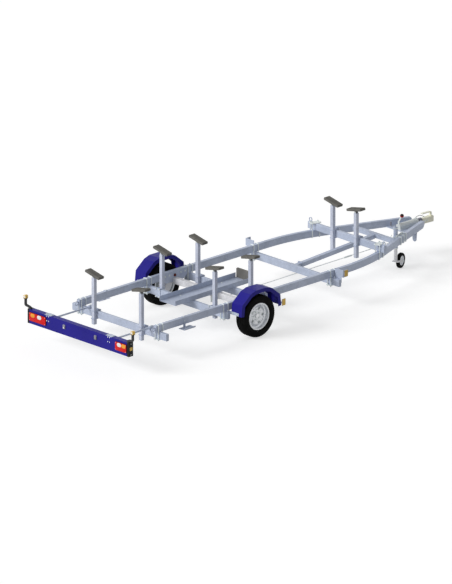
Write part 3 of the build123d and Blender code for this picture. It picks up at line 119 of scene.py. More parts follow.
def grey(level):
    """A colour of one even level."""
    return (level, level, level)


def times(tree, first, second):
    """Multiplies two colour sockets."""
    node = tree.nodes.new("ShaderNodeMix")
    node.data_type = "RGBA"
    node.blend_type = "MULTIPLY"
    node.inputs[0].default_value = 1.0
    tree.links.new(first, node.inputs[6])
    tree.links.new(second, node.inputs[7])
    return node.outputs[2]


def bump(tree, shader, height, strength, distance):
    """Raises the surface by a height value; distance is in metres."""
    node = tree.nodes.new("ShaderNodeBump")
    node.inputs["Strength"].default_value = strength
    node.inputs["Distance"].default_value = distance
    tree.links.new(height, node.inputs["Height"])
    tree.links.new(node.outputs["Normal"], shader.inputs["Normal"])


def galvanised_steel(name, tones, metallic=0.12):
    """Hot-dip zinc: soft spangle, cloudy weathering and faint runs."""
    light, dark = tones
    material, tree, shader, place = nodes_of(name)
    cells = tree.nodes.new("ShaderNodeTexVoronoi")
    cells.inputs["Scale"].default_value = 70
    tree.links.new(place, cells.inputs["Vector"])
    spangle = tree.nodes.new("ShaderNodeSeparateColor")
    tree.links.new(cells.outputs["Color"], spangle.inputs["Color"])
    clouds = ramp(tree, noise(tree, place, 3.2, 5), dark, light, 0.30, 0.62)
    flecks = ramp(tree, spangle.outputs["Red"], grey(0.88), grey(1.0), 0.0, 1.0)
    runs = ramp(tree, noise(tree, place, 9, 2, (1, 1, 0.15)), grey(0.94), grey(1.0), 0.35, 0.6)
    tree.links.new(times(tree, times(tree, clouds, flecks), runs), shader.inputs["Base Color"])
    rough = ramp(tree, spangle.outputs["Green"], grey(0.40), grey(0.56), 0.0, 1.0)
    tree.links.new(rough, shader.inputs["Roughness"])
    shader.inputs["Metallic"].default_value = metallic
    bump(tree, shader, noise(tree, place, 120, 3), 0.25, 0.0004)
    return material


def enamel(name, tones, roughness=0.38, coat=0.0, gloss=0.12, metallic=0.0):
    """Sprayed enamel or lacquer: nearly even, with orange peel and a soft coat."""
    light, dark = tones
    material, tree, shader, place = nodes_of(name)
    colour = ramp(tree, noise(tree, place, 2.5, 4), dark, light, 0.25, 0.6)
    tree.links.new(colour, shader.inputs["Base Color"])
    rough = ramp(tree, noise(tree, place, 30, 3), grey(roughness - 0.06), grey(roughness + 0.08))
    tree.links.new(rough, shader.inputs["Roughness"])
    shader.inputs["Specular IOR Level"].default_value = gloss
    shader.inputs["Metallic"].default_value = metallic
    shader.inputs["Coat Weight"].default_value = coat
    shader.inputs["Coat Roughness"].default_value = 0.15
    bump(tree, shader, noise(tree, place, 420, 2), 0.12, 0.0003)
    return material


def moulded(name, tones, roughness=0.55, grain=900):
    """Moulded plastic or rubber with a fine grain and slight chalking."""
    light, dark = tones
    material, tree, shader, place = nodes_of(name)
    tree.links.new(ramp(tree, noise(tree, place, 6, 5), dark, light, 0.3, 0.7), shader.inputs["Base Color"])
    rough = ramp(tree, noise(tree, place, 40, 3), grey(roughness - 0.08), grey(roughness + 0.1))
    tree.links.new(rough, shader.inputs["Roughness"])
    shader.inputs["Specular IOR Level"].default_value = 0.15
    bump(tree, shader, noise(tree, place, grain, 2), 0.3, 0.0002)
    return material


def lens(name, colour):
    """Moulded lamp or reflector plastic: smooth skin over a ribbed optic."""
    material, tree, shader, place = nodes_of(name)
    ribs = tree.nodes.new("ShaderNodeTexWave")
    ribs.bands_direction = "Y"
    ribs.inputs["Scale"].default_value = 55
    tree.links.new(place, ribs.inputs["Vector"])
    dark = tuple(0.72 * part for part in colour)
    tree.links.new(ramp(tree, ribs.outputs["Fac"], dark, colour, 0.1, 0.8), shader.inputs["Base Color"])
    shader.inputs["Roughness"].default_value = 0.22
    shader.inputs["Specular IOR Level"].default_value = 0.2
    bump(tree, shader, ribs.outputs["Fac"], 0.35, 0.0006)
    return material


def tyre_rubber(name):
    """Black tyre rubber, a little dusty in patches."""
    material, tree, shader, place = nodes_of(name)
    dust = ramp(tree, noise(tree, place, 14, 5), TYRE_BLACK, TYRE_DUST, 0.45, 0.75)
    tree.links.new(dust, shader.inputs["Base Color"])
    rough = ramp(tree, noise(tree, place, 60, 3), grey(0.70), grey(0.88))
    tree.links.new(rough, shader.inputs["Roughness"])
    shader.inputs["Specular IOR Level"].default_value = 0.05
    bump(tree, shader, noise(tree, place, 700, 2), 0.25, 0.0002)
    return material


MATERIALS = {
    "galvanised": galvanised_steel("galvanised_steel", ZINC),
    "pale_zinc": galvanised_steel("pale_zinc_plate", PALE_ZINC, 0.2),
    "blue_paint": enamel("blue_enamel", BLUE),
    "wheel_silver": enamel("wheel_lacquer", WHEEL_SILVER, 0.30, 0.2, 0.5, 0.40),
    "tyre_rubber": tyre_rubber("tyre_tread_rubber"),
    "black_rubber": moulded("black_rubber_skin", BLACK_RUBBER, 0.6),
    "lamp_grey": moulded("lamp_grey_plastic", LAMP_GREY, 0.5),
    "cable_grey": moulded("cable_grey_cover", CABLE_GREY, 0.5),
    "black_plastic": moulded("black_plastic_grain", BLACK_PLASTIC, 0.45),
    "pad_rubber": moulded("support_pad_rubber", PAD_GREY, 0.75, 500),
    "red_lens": lens("red_lens_plastic", RED),
    "amber_lens": lens("amber_lens_plastic", AMBER),
    "gold_lens": lens("gold_reflector_plastic", GOLD),
    "cream_zinc": galvanised_steel("cream_zinc_plate", CREAM_ZINC, 0.0),
    "clear_lens": lens("clear_lens_plastic", CLEAR),
    "bright_zinc": galvanised_steel("bright_zinc_fastener", BRIGHT_ZINC, 0.35),
    "housing_zinc": galvanised_steel("housing_zinc_plate", HOUSING_ZINC, 0.1),
    # A lighter copy of the galvanised steel for the posts only: painted light
    "post_zinc_painted_light": galvanised_steel("post_zinc_steel_painted_light", POST_ZINC_PAINTED_LIGHT),
    "rust_red": enamel("rust_red_primer", PRIMER_RED, 0.5),
    "knob_red": enamel("knob_red_plastic", KNOB_RED, 0.3, 0.2),
    "bright_cap": enamel("bright_cap_plate", CAP_METAL, 0.18, 0.3, 0.5, 0.85),
}

# CAD nodes whose finish differs from that of their slot
NODES_IN_FINISH = {
    # The posts take the lighter copy of the galvanised zinc: painted light
    "post_zinc_painted_light": [f"post_{station}_{side_name}" for station in STATIONS for side_name in SIDES],
    "bright_zinc": ["hub_drum_left", "hub_drum_right", "jockey_clamp", "brake_rod"],
    "pale_zinc": ["jockey_inner_tube"],
    "galvanised": ["jockey_outer_tube", "post_clamps"],
    "housing_zinc": ["overrun_housing", "handbrake_lever"],
    "cream_zinc": ["coupling_head", "coupling_handle"],
    "gold_lens": ["side_reflectors", "marker_lamps"],
    "lamp_grey": ["bellows"],
}


def finish_with(piece, name):
    """Gives a piece or a CAD node one finish in place of its own."""
    piece.data.materials.clear()
    piece.data.materials.append(MATERIALS[name])


for row in frame["record"]["subparts"]:
    finish_with(NODES[row["node"]], row["material_slot"])
for finish, node_names in NODES_IN_FINISH.items():
    for node_name in node_names:
        finish_with(NODES[node_name], finish)

# -------------------------------- making meshes


def along(origin, direction, side=(0, 0, 1), turn=0.0):
    """A place at `origin` whose local Z runs along `direction` and whose local X lies near `side`."""
    z_axis = Vector(direction).normalized()
    near = Vector(side)
    if abs(z_axis.dot(near.normalized())) > 0.99:
        near = Vector((1, 0, 0))
    y_axis = z_axis.cross(near).normalized()
    x_axis = y_axis.cross(z_axis)
    spin = Matrix((x_axis, y_axis, z_axis)).transposed().to_4x4()
    return Matrix.Translation(origin) @ spin @ Matrix.Rotation(turn, 4, "Z")


def lathe(mesh, profile, place, steps=20, closed=False):
    """Turns (radius, height) points about the local Z of `place` into a closed skin.

    `closed` joins the last point to the first; otherwise an end that is off the axis gets a flat cap.
    """
    rings = []
    for radius, height in profile:
        if radius == 0:
            rings.append([mesh.verts.new(place @ Vector((0, 0, height)))])
            continue
        turns = [2 * math.pi * (step + 0.5) / steps for step in range(steps)]
        rings.append([
            mesh.verts.new(place @ Vector((radius * math.cos(turn), radius * math.sin(turn), height)))
            for turn in turns
        ])
    pairs = list(zip(rings, rings[1:]))
    if closed:
        pairs.append((rings[-1], rings[0]))
    for low, high in pairs:
        for step in range(steps):
            following = (step + 1) % steps
            corners = [low[step % len(low)], low[following % len(low)],
                       high[following % len(high)], high[step % len(high)]]
            mesh.faces.new(list(dict.fromkeys(corners)))
    if not closed:
        for ring in (rings[0], rings[-1]):
            if len(ring) > 1:
                mesh.faces.new(ring)


def outline(width, height, radius, steps=4):
    """Corners of a rounded rectangle round the origin, anticlockwise."""
    corners = []
    for quarter, (x, y) in enumerate(((1, 1), (-1, 1), (-1, -1), (1, -1))):
        centre = Vector((x * (width / 2 - radius), y * (height / 2 - radius), 0))
        for step in range(steps + 1):
            turn = math.pi / 2 * (quarter + step / steps)
            corners.append(centre + radius * Vector((math.cos(turn), math.sin(turn), 0)))
    return corners


def moulding(mesh, place, levels, steps=4):
    """Stacks rounded rectangles (width, height, radius, level) along local Z and closes both ends."""
    loops = []
    for width, height, radius, level in levels:
        lift = Vector((0, 0, level))
        loops.append([mesh.verts.new(place @ (c + lift)) for c in outline(width, height, radius, steps)])
    for low, high in zip(loops, loops[1:]):
        for index in range(len(low)):
            mesh.faces.new((low[index - 1], low[index], high[index], high[index - 1]))
    mesh.faces.new(loops[-1])
    mesh.faces.new(loops[0][::-1])


def slab(mesh, place, width, height, depth, radius=0.004, edge=0.001):
    """A flat plate on the XY of `place`, with rounded corners and a broken edge."""
    inner = (width - 2 * edge, height - 2 * edge, max(radius - edge, 0.0004))
    moulding(mesh, place, [(*inner, 0), (width, height, radius, edge),
                           (width, height, radius, depth - edge), (*inner, depth)])


def rounded(points, radius, steps=5):
    """The path through `points` with each inner corner turned into an arc."""
    path = [points[0]]
    for before, corner, after in zip(points, points[1:], points[2:]):
        back = (before - corner).normalized()
        onward = (after - corner).normalized()
        half = back.angle(onward) / 2
        centre = corner + (back + onward).normalized() * radius / math.sin(half)
        start = corner + back * radius / math.tan(half) - centre
        finish = corner + onward * radius / math.tan(half) - centre
        axis = start.cross(finish)
        for step in range(steps + 1):
            turn = Matrix.Rotation(start.angle(finish) * step / steps, 3, axis)
            path.append(centre + turn @ start)
    path.append(points[-1])
    return path


def rod(mesh, path, radius, square_to, steps=12):
    """A round rod along a flat path; `square_to` is square to the path's plane."""
    square_to = Vector(square_to).normalized()
    rings = []
    for index, point in enumerate(path):
        ahead = path[min(index + 1, len(path) - 1)] - path[max(index - 1, 0)]
        across = ahead.cross(square_to).normalized()
        rings.append([
            mesh.verts.new(point + radius * (math.cos(turn) * across + math.sin(turn) * square_to))
            for turn in (2 * math.pi * step / steps for step in range(steps))
        ])
    for low, high in zip(rings, rings[1:]):
        for index in range(steps):
            mesh.faces.new((low[index - 1], low[index], high[index], high[index - 1]))
    mesh.faces.new(rings[0][::-1])
    mesh.faces.new(rings[-1])


def piece_of(name, mesh, body, finish, smooth_to=35):
    """Turns a finished mesh into a piece that rides on a CAD body."""
    bmesh.ops.recalc_face_normals(mesh, faces=mesh.faces)
    data = bpy.data.meshes.new(name)
    mesh.to_mesh(data)
    mesh.free()
    data.shade_smooth()
    data.set_sharp_from_angle(angle=math.radians(smooth_to))
    piece = bpy.data.objects.new(name, data)
    bpy.context.scene.collection.objects.link(piece)
    finish_with(piece, finish)
    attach(piece, body)
    return piece


# -------------------------------- small fasteners

THREAD_PITCH = 0.00175
WASHER_THICK = 0.0025
NUT_HIGH = 0.010
HEAD_WASHER = 0.002         # washer under a bolt's head


def washer(mesh, place, bore, width=0.012, thick=WASHER_THICK):
    """A flat ring lying on the XY of `place`."""
    lathe(mesh, [(bore, 0), (width, 0), (width, thick), (bore, thick)], place, 20, closed=True)


def nut(mesh, place, bore=0.006, across=0.018, height=NUT_HIGH):
    """A chamfered hexagon nut standing on the XY of `place`."""
    corner = across / math.sqrt(3)
    low = 0.08 * height
    lathe(mesh, [(bore, 0), (0.95 * corner, 0), (corner, low), (corner, height - low), (0.9 * corner, height),
                 (bore, height)], place, 6, closed=True)


def threaded_end(mesh, place, length, radius=0.006):
    """The last turns of a threaded rod, with a chamfered tip."""
    profile = []
    turns = max(2, round(length / THREAD_PITCH))
    for turn in range(turns):
        start = length * turn / turns
        profile += [(radius, start), (0.88 * radius, start + 0.5 * length / turns)]
    lathe(mesh, [(0, 0)] + profile + [(0.9 * radius, length), (0, length)], place, 12)


def hex_bolt(mesh, place, across=0.018, height=0.0075, washer_width=None):
    """A bolt head on its washer."""
    corner = across / math.sqrt(3)
    width = washer_width or 0.72 * across
    washer(mesh, place, 0.2 * across, width, HEAD_WASHER)
    head = place @ Matrix.Translation((0, 0, HEAD_WASHER))
    lathe(mesh, [(0.86 * corner, 0), (corner, 0.0008), (corner, height - 0.0012), (0.86 * corner, height),
                 (0.5 * corner, height), (0, height - 0.0004)], head, 6)


def dome_bolt(mesh, place, radius=0.010, height=0.005):
    """The round head of a coach bolt."""
    arc = [(radius * math.cos(step * math.pi / 12), 0.0008 + height * math.sin(step * math.pi / 12))
           for step in range(6)]
    lathe(mesh, [(radius, 0)] + arc + [(0, 0.0008 + height)], place, 18)


def nut_on_thread(mesh, end, direction, past, bore=0.006, across=0.018):
    """Washer, nut and thread on a rod whose tip `end` stands `past` beyond its plate."""
    direction = Vector(direction).normalized()
    showing = past - WASHER_THICK - NUT_HIGH
    washer(mesh, along(end - direction * past, direction), bore)
    nut(mesh, along(end - direction * (past - WASHER_THICK), direction), bore, across)
    threaded_end(mesh, along(end - direction * showing, direction), showing + 0.0006)


# -------------------------------- U-bolts on the beams

WIRE = 0.012                # rod of the U-bolts
THREAD = 0.016              # threaded end past the plate
PLATE = 0.008               # thickness of the clamp plates
BEND = 0.011                # bend of the rod, on its middle line
CLAMP_FINISH = {"rail_clamps": "bright_zinc", "post_clamps": "galvanised"}


def solids_of(node_name):
    """The separate solids of a CAD node, in its mesh's order, each as a list of its corners."""
    mesh = bmesh.new()
    mesh.from_mesh(NODES[node_name].data)
    bmesh.ops.remove_doubles(mesh, verts=mesh.verts, dist=1e-5)
    seen = set()
    solids = []
    for first in mesh.verts:
        if first in seen:
            continue
        seen.add(first)
        found = [first]
        points = []
        while found:
            vertex = found.pop()
            points.append(vertex.co.copy())
            for edge in vertex.link_edges:
                other = edge.other_vert(vertex)
                if other not in seen:
                    seen.add(other)
                    found.append(other)
        solids.append(points)
    mesh.free()
    return solids


def leg_tips(points, axis):
    """Tips of the U-bolts' legs in a clamp, the way they point and how far back their bends lie."""
    near = 1e-4
    low = min(point[axis] for point in points)
    high = max(point[axis] for point in points)
    at_low = [point for point in points if point[axis] - low < near]
    at_high = [point for point in points if high - point[axis] < near]
    # A leg's tip has four corners, a bend only two on each side
    tips, way = (at_low, -1) if len(at_low) > len(at_high) else (at_high, 1)
    groups = []
    for tip in tips:
        for group in groups:
            if (group[0] - tip).length < 1.6 * WIRE:
                group.append(tip)
                break
        else:
            groups.append([tip])
    direction = Vector((0, 0, 0))
    direction[axis] = way
    return [sum(group, Vector()) / len(group) for group in groups], direction, high - low


def clamp_set(node_name, axis, width, margin):
    """Round U-bolts, plates and nuts in place of a node of clamps."""
    bolts = bmesh.new()
    nuts = bmesh.new()
    for points in solids_of(node_name):
        tips, direction, length = leg_tips(points, axis)
        corner = tips[0]
        tips.sort(key=lambda tip: (tip - corner).length)
        pairs = [(tips[0], tips[1]), (tips[2], tips[3])]
        middles = [(first + second) / 2 for first, second in pairs]
        spread = middles[1] - middles[0]
        face = (middles[0] + middles[1]) / 2 - direction * (THREAD + PLATE)
        slab(bolts, along(face, direction, spread), spread.length + margin, width, PLATE, 0.003)
        for first, second in pairs:
            back = direction * (length - WIRE / 2)
            path = rounded([first, first - back, second - back, second], BEND)
            rod(bolts, path, WIRE / 2, direction.cross(second - first))
            for tip in (first, second):
                nut_on_thread(nuts, tip, direction, THREAD)
    made = piece_of(f"{node_name}_round", bolts, "chassis", CLAMP_FINISH[node_name])
    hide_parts(node_name)
    piece_of(f"{node_name}_nuts", nuts, "chassis", "bright_zinc")


clamp_set("rail_clamps", axis=2, width=0.096, margin=3 * WIRE)
clamp_set("post_clamps", axis=0, width=0.092, margin=2 * WIRE)

# -------------------------------- sizes repeated from the part's source

RAIL_LOW = 0.420
RAIL_TOP = 0.520
RAIL_Y = 0.756
RAIL_HALF = 0.025
BEAM_X = {"rear": -2.575, "aft": -1.340, "fore": -0.560}
WHEEL_X = -0.920
WHEEL_Y = 0.930
TYRE_R = 0.298
HUB_FACE = 0.022
BOARD_X = -3.370
BOARD_LOW = 0.301
BOARD_TOP = 0.501
BOARD_DEEP = 0.080
BOARD_END_Y = 0.997
ROD_Y = 0.600               # the light board's carrying rods
STEP_X = -2.123
STEP_TOP = 0.386
DRAW_Z = 0.480              # axis of the drawbar
HEADING = math.radians(21.2)    # the right drawbar arm's heading, as seen from above
PAD_TILT = math.radians(12)

# -------------------------------- road wheels

TREAD_BLOCKS = 60
STEPS_A_BLOCK = 4
GROOVE = 0.007
SLOT_DEEP = 0.005
SLOT_SHIFT = 0.02           # the slots move one step round for each of these across
SLOTTED = (0.024, 0.0745)   # part of each half that the slots cross
# Half of the tread from the middle outward: (distance across, drop below the crown)
TREAD_HALF = [
    (0.0, 0.0), (0.012, 0.0), (0.014, GROOVE), (0.021, GROOVE), (0.023, 0.0), (0.044, 0.0),
    (0.046, GROOVE), (0.053, GROOVE), (0.055, 0.0003), (0.074, 0.005), (0.080, 0.013), (0.084, 0.022),
]
# Sidewall from the shoulder to the bead: (distance across, radius)
SIDEWALL = [
    (0.0885, 0.262), (0.0905, 0.256), (0.0895, 0.253), (0.0922, 0.246), (0.0925, 0.233), (0.0912, 0.220),
    (0.0900, 0.2185), (0.0895, 0.212), (0.0850, 0.203), (0.0780, 0.1965), (0.0705, 0.1905), (0.0697, 0.1783),
]


def road_tyre(side_name, side):
    """Tyre with four grooves, cross-cut shoulder blocks and ringed sidewalls, in place of the plain one."""
    half = [(across, TYRE_R - drop) for across, drop in TREAD_HALF] + SIDEWALL
    section = [(-across, radius) for across, radius in reversed(half[1:])] + half
    steps = TREAD_BLOCKS * STEPS_A_BLOCK
    mesh = bmesh.new()
    rings = []
    for across, radius in section:
        # The slots skip the grooves, and lean the other way round on the two halves of the tread
        slotted = SLOTTED[0] <= abs(across) <= SLOTTED[1] and TYRE_R - radius < GROOVE - 0.001
        shift = round(abs(across) / SLOT_SHIFT)
        ring = []
        for step in range(steps):
            in_slot = slotted and (step + shift) % STEPS_A_BLOCK == 0
            level = radius - (SLOT_DEEP if in_slot else 0)
            turn = 2 * math.pi * step / steps
            ring.append(mesh.verts.new((WHEEL_X + level * math.cos(turn), side * (WHEEL_Y + across),
                                        TYRE_R + level * math.sin(turn))))
        rings.append(ring)
    for low, high in zip(rings, rings[1:] + rings[:1]):
        for step in range(steps):
            mesh.faces.new((low[step - 1], low[step], high[step], high[step - 1]))
    tyre = piece_of(f"road_tyre_{side_name}", mesh, f"wheel_{side_name}", "tyre_rubber", 40)
    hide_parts(f"tyre_{side_name}")


WHEEL_BOLTS = 5
BOLT_CIRCLE = 0.056
BOLT_ACROSS = 0.019
CAP_RADIUS = 0.0315
CAP_REACH = 0.049
VALVE_R, VALVE_TURN, VALVE_OUT = 0.150, 2.2, 0.030


def wheel_fittings(side_name, side):
    """Wheel bolts with conical seats, the dust cap and the valve."""
    body = f"wheel_{side_name}"
    outward = Vector((0, side, 0))
    face = Vector((WHEEL_X, side * (WHEEL_Y + HUB_FACE), TYRE_R))
    corner = BOLT_ACROSS / math.sqrt(3)
    bolts = bmesh.new()
    for index in range(WHEEL_BOLTS):
        turn = 2 * math.pi * (index + 0.5) / WHEEL_BOLTS
        spot = face + BOLT_CIRCLE * Vector((math.cos(turn), 0, math.sin(turn)))
        place = along(spot, outward, (1, 0, 0), turn)
        lathe(bolts, [(0.0145, 0), (0.0125, 0.004), (0, 0.004)], place, 20)
        lathe(bolts, [(corner, 0.003), (corner, 0.013), (0.0095, 0.0155), (0.005, 0.0168), (0, 0.0170)],
              place, 6)
    piece_of(f"wheel_bolts_{side_name}", bolts, body, "bright_zinc", 25)
    cap = bmesh.new()
    hub = Vector((WHEEL_X, side * WHEEL_Y, TYRE_R))
    lathe(cap, [(0.034, HUB_FACE), (0.034, HUB_FACE + 0.003), (CAP_RADIUS, HUB_FACE + 0.004),
                (CAP_RADIUS, CAP_REACH - 0.008), (0.0295, CAP_REACH - 0.003), (0.024, CAP_REACH),
                (0.010, CAP_REACH + 0.0006), (0, CAP_REACH + 0.0008)], along(hub, outward), 40)
    piece_of(f"dust_cap_{side_name}", cap, body, "bright_cap")
    valve = bmesh.new()
    foot = hub + Vector((VALVE_R * math.cos(VALVE_TURN), side * VALVE_OUT, VALVE_R * math.sin(VALVE_TURN)))
    lathe(valve, [(0.008, -0.004), (0.008, 0.001), (0.0055, 0.004), (0.005, 0.020), (0.004, 0.022),
                  (0.0042, 0.031), (0.003, 0.033), (0, 0.033)], along(foot, outward), 16)
    piece_of(f"valve_{side_name}", valve, body, "black_rubber")


for side_name, side in SIDES.items():
    road_tyre(side_name, side)
    wheel_fittings(side_name, side)

# -------------------------------- lamps

LAMP_Z = 0.407
LAMP_HIGH = 0.125
LAMP_OUT_Y = 0.958
LAMP_WIDE = {"left": 0.330, "right": 0.225}
LAMP_BASE = 0.009           # thickness of a lamp's black base
SKIN_INSET = 0.008          # how much smaller than its base a lamp's red skin is
# Shares of a lamp's width from its middle outward: the indicator outboard, the reversing lamp inboard
OVAL_OFF = {"amber_lens": 0.27, "clear_lens": -0.12}
OVAL_RISE = 0.026
SCREW_INSET = 0.012
PLATE_Y = -0.036
PLATE_LAMP_OFF = 0.308
PLATE_LAMP_Z = 0.421
REARWARD = Vector((-1, 0, 0))


def rear_place(y, z, lift=0.0):
    """A place on the board's rear face, local X to the right as seen from behind and local Y up."""
    return Matrix.Translation((BOARD_X - lift, y, z)) @ Matrix(((0, 0, -1), (-1, 0, 0), (0, 1, 0))).to_4x4()


housings = bmesh.new()
hoods = bmesh.new()
lenses = {name: bmesh.new() for name in ("red_lens", "amber_lens", "gold_lens", "clear_lens")}
screws = bmesh.new()
for side_name, side in SIDES.items():
    wide = LAMP_WIDE[side_name]
    y = side * (LAMP_OUT_Y - wide / 2)
    slab(housings, rear_place(y, LAMP_Z), wide, LAMP_HIGH, LAMP_BASE, 0.014, 0.0015)
    skin_wide, skin_high = wide - SKIN_INSET, LAMP_HIGH - SKIN_INSET
    moulding(lenses["red_lens"], rear_place(y, LAMP_Z, LAMP_BASE), [
        (skin_wide, skin_high, 0.012, 0), (skin_wide, skin_high, 0.012, 0.0035),
        (skin_wide - 0.004, skin_high - 0.004, 0.010, 0.0058),
        (skin_wide - 0.010, skin_high - 0.010, 0.008, 0.0065),
    ], 6)
    for finish, offset in OVAL_OFF.items():
        spot = rear_place(y + side * offset * wide, LAMP_Z + OVAL_RISE, 0.015)
        moulding(lenses[finish], spot, [(0.082, 0.056, 0.027, 0), (0.080, 0.054, 0.026, 0.0022),
                                        (0.066, 0.040, 0.0195, 0.0045)], 8)
    for x_sign, z_sign in ((-1, -1), (1, -1), (-1, 1), (1, 1)):
        spot = rear_place(y + x_sign * (skin_wide / 2 - SCREW_INSET),
                          LAMP_Z + z_sign * (skin_high / 2 - SCREW_INSET), 0.0152)
        lathe(screws, [(0.0038, 0), (0.0036, 0.0014), (0.0022, 0.0020), (0, 0.0021)], spot, 14)
    # Number plate lamps: a hood on each side, and a clear window in the left one
    hood_y = PLATE_Y + side * PLATE_LAMP_OFF
    moulding(hoods, rear_place(hood_y, PLATE_LAMP_Z),
             [(0.044, 0.060, 0.004, 0), (0.044, 0.060, 0.004, 0.008), (0.036, 0.044, 0.004, 0.016)], 4)
    if side > 0:
        window = rear_place(hood_y, PLATE_LAMP_Z - 0.012, 0.0155)
        slab(lenses["clear_lens"], window, 0.026, 0.018, 0.002, 0.006, 0.0006)
    # Side reflector on the end cap
    end_face = Matrix.Translation((BOARD_X + BOARD_DEEP / 2, side * BOARD_END_Y, LAMP_Z))
    turn = Matrix.Rotation(-side * math.pi / 2, 4, "X")
    moulding(lenses["gold_lens"], end_face @ turn,
             [(0.050, 0.048, 0.004, 0), (0.050, 0.048, 0.004, 0.003), (0.046, 0.044, 0.003, 0.0042)])
housing = piece_of("lamp_housings", housings, "light_board", "black_plastic")
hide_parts("rear_lamps")
piece_of("plate_lamp_hoods", hoods, "light_board", "lamp_grey")
for finish, mesh in lenses.items():
    piece_of(f"lamp_{finish}", mesh, "light_board", finish)
piece_of("lamp_screws", screws, "light_board", "bright_zinc")

# Marker lamps: amber body with clear windows and a black base, on arms that stand in rubber boots
MARKER_Y, MARKER_Z = 1.054, 0.632
BOOT_Y = 0.965
marker_bases = bmesh.new()
boots = bmesh.new()
marker_windows = bmesh.new()
for side in SIDES.values():
    foot = Vector((BOARD_X + 0.018, side * MARKER_Y, MARKER_Z))
    slab(marker_bases, Matrix.Translation(foot - Vector((0, 0, 0.001))), 0.050, 0.050, 0.009, 0.010, 0.001)
    moulding(boots, Matrix.Translation((BOARD_X + 0.022, side * BOOT_Y, BOARD_TOP)),
             [(0.044, 0.046, 0.006, 0), (0.042, 0.044, 0.006, 0.010),
              (0.033, 0.031, 0.005, 0.026), (0.031, 0.029, 0.004, 0.030)])
    for way in (-1, 1):
        window = along(foot + Vector((way * 0.0228, 0, 0.028)), (way, 0, 0), (0, 1, 0))
        moulding(marker_windows, window, [(0.034, 0.032, 0.009, 0), (0.034, 0.032, 0.009, 0.0012),
                                          (0.026, 0.024, 0.007, 0.0028)])
piece_of("marker_bases", marker_bases, "light_board", "black_plastic")
piece_of("marker_windows", marker_windows, "light_board", "clear_lens")
piece_of("arm_boots", boots, "light_board", "black_rubber")

# Lips of the end caps, folded over the board's rear face and flanges
LIP_WIDE = 0.036
LIP_THICK = 0.0022
lips = bmesh.new()
for side in SIDES.values():
    lip_y = side * (BOARD_END_Y - LIP_WIDE / 2 - 0.001)
    slab(lips, rear_place(lip_y, (BOARD_LOW + BOARD_TOP) / 2), LIP_WIDE, BOARD_TOP - BOARD_LOW, LIP_THICK,
         0.002, 0.0006)
    for z, flip in ((BOARD_TOP, 0), (BOARD_LOW, math.pi)):
        face = Matrix.Translation((BOARD_X + BOARD_DEEP / 2, lip_y, z)) @ Matrix.Rotation(flip, 4, "X")
        slab(lips, face, BOARD_DEEP, LIP_WIDE, LIP_THICK, 0.002, 0.0006)
piece_of("board_end_lips", lips, "light_board", "black_plastic")

# -------------------------------- light board bolts

board_bolts = bmesh.new()
for side in SIDES.values():
    for z in (0.420, 0.486):
        for shift in (-0.018, 0.018):
            dome_bolt(board_bolts, along((BOARD_X, side * ROD_Y + shift, z), REARWARD), 0.008, 0.004)
    for shift in (-0.045, 0.045):
        spot = (BOARD_X + 0.030, side * ROD_Y + shift, BOARD_TOP + 0.005)
        hex_bolt(board_bolts, along(spot, (0, 0, 1)), 0.013, 0.006)
    for z in (BOARD_LOW + 0.022, BOARD_TOP - 0.022):
        spot = (BOARD_X + BOARD_DEEP / 2, side * BOARD_END_Y, z)
        dome_bolt(board_bolts, along(spot, (0, side, 0)), 0.006, 0.003)
piece_of("board_bolts", board_bolts, "light_board", "bright_zinc")

# -------------------------------- posts and pads

PIN_DROP = 0.013            # pivot below the post's top
EAR_HALF = 0.025            # the post's outer faces at the pivot
PAD_FOOT = 0.018            # underside of the pad above its pivot
PAD_THICK = 0.035
PAD_HALF = 0.1365
GRIPS = 9
GRIP_PITCH = 0.029
for station in STATIONS:
    for side_name, side in SIDES.items():
        post = f"post_{station}_{side_name}"
        low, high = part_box(post)
        pin = Vector(((low[0] + high[0]) / 2, (low[1] + high[1]) / 2, high[2] - PIN_DROP))
        pivot = bmesh.new()
        hex_bolt(pivot, along(pin - Vector((EAR_HALF, 0, 0)), (-1, 0, 0)), 0.016, 0.006)
        washer(pivot, along(pin + Vector((EAR_HALF, 0, 0)), (1, 0, 0)), 0.005, 0.010, 0.002)
        nut(pivot, along(pin + Vector((0.027, 0, 0)), (1, 0, 0)), 0.005, 0.016, 0.008)
        threaded_end(pivot, along(pin + Vector((0.034, 0, 0)), (1, 0, 0)), 0.004, 0.005)
        piece_of(f"pivot_bolt_{station}_{side_name}", pivot, post, "bright_zinc")

        pad = f"pad_{station}_{side_name}"
        level = Matrix.Translation(pin) @ Matrix.Rotation(side * PAD_TILT, 4, "X")
        grips = bmesh.new()
        for index in range(GRIPS):
            shift = (index - GRIPS // 2) * GRIP_PITCH
            rib = level @ Matrix.Translation((0, shift, PAD_FOOT + PAD_THICK - 0.0006))
            slab(grips, rib, 0.088, 0.010, 0.0024, 0.003, 0.0009)
        for way in (-1, 1):
            end = level @ Matrix.Translation((0, way * PAD_HALF, PAD_FOOT + PAD_THICK / 2))
            bead = end @ Matrix.Rotation(-way * math.pi / 2, 4, "X")
            slab(grips, bead, 0.086, 0.020, 0.0020, 0.004, 0.0008)
        piece_of(f"pad_grips_{station}_{side_name}", grips, pad, "pad_rubber")

# -------------------------------- jockey wheel

tube_low, tube_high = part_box("jockey_inner_tube")
column = (Vector(tube_low) + Vector(tube_high)) / 2
column.z = 0
ahead = Vector((math.cos(HEADING), math.sin(HEADING), 0))
inward = Vector((-math.sin(HEADING), math.cos(HEADING), 0))
ROLLER_TRAIL = 0.165
ROLLER_R = 0.108
ROLLER_HALF = 0.028
RAIL_FACE = -0.0464         # the arm's inner face, from the column inward
CLAMP_REACHES = (-0.046, 0.046, 0.118)
FORK_HALF = 0.041

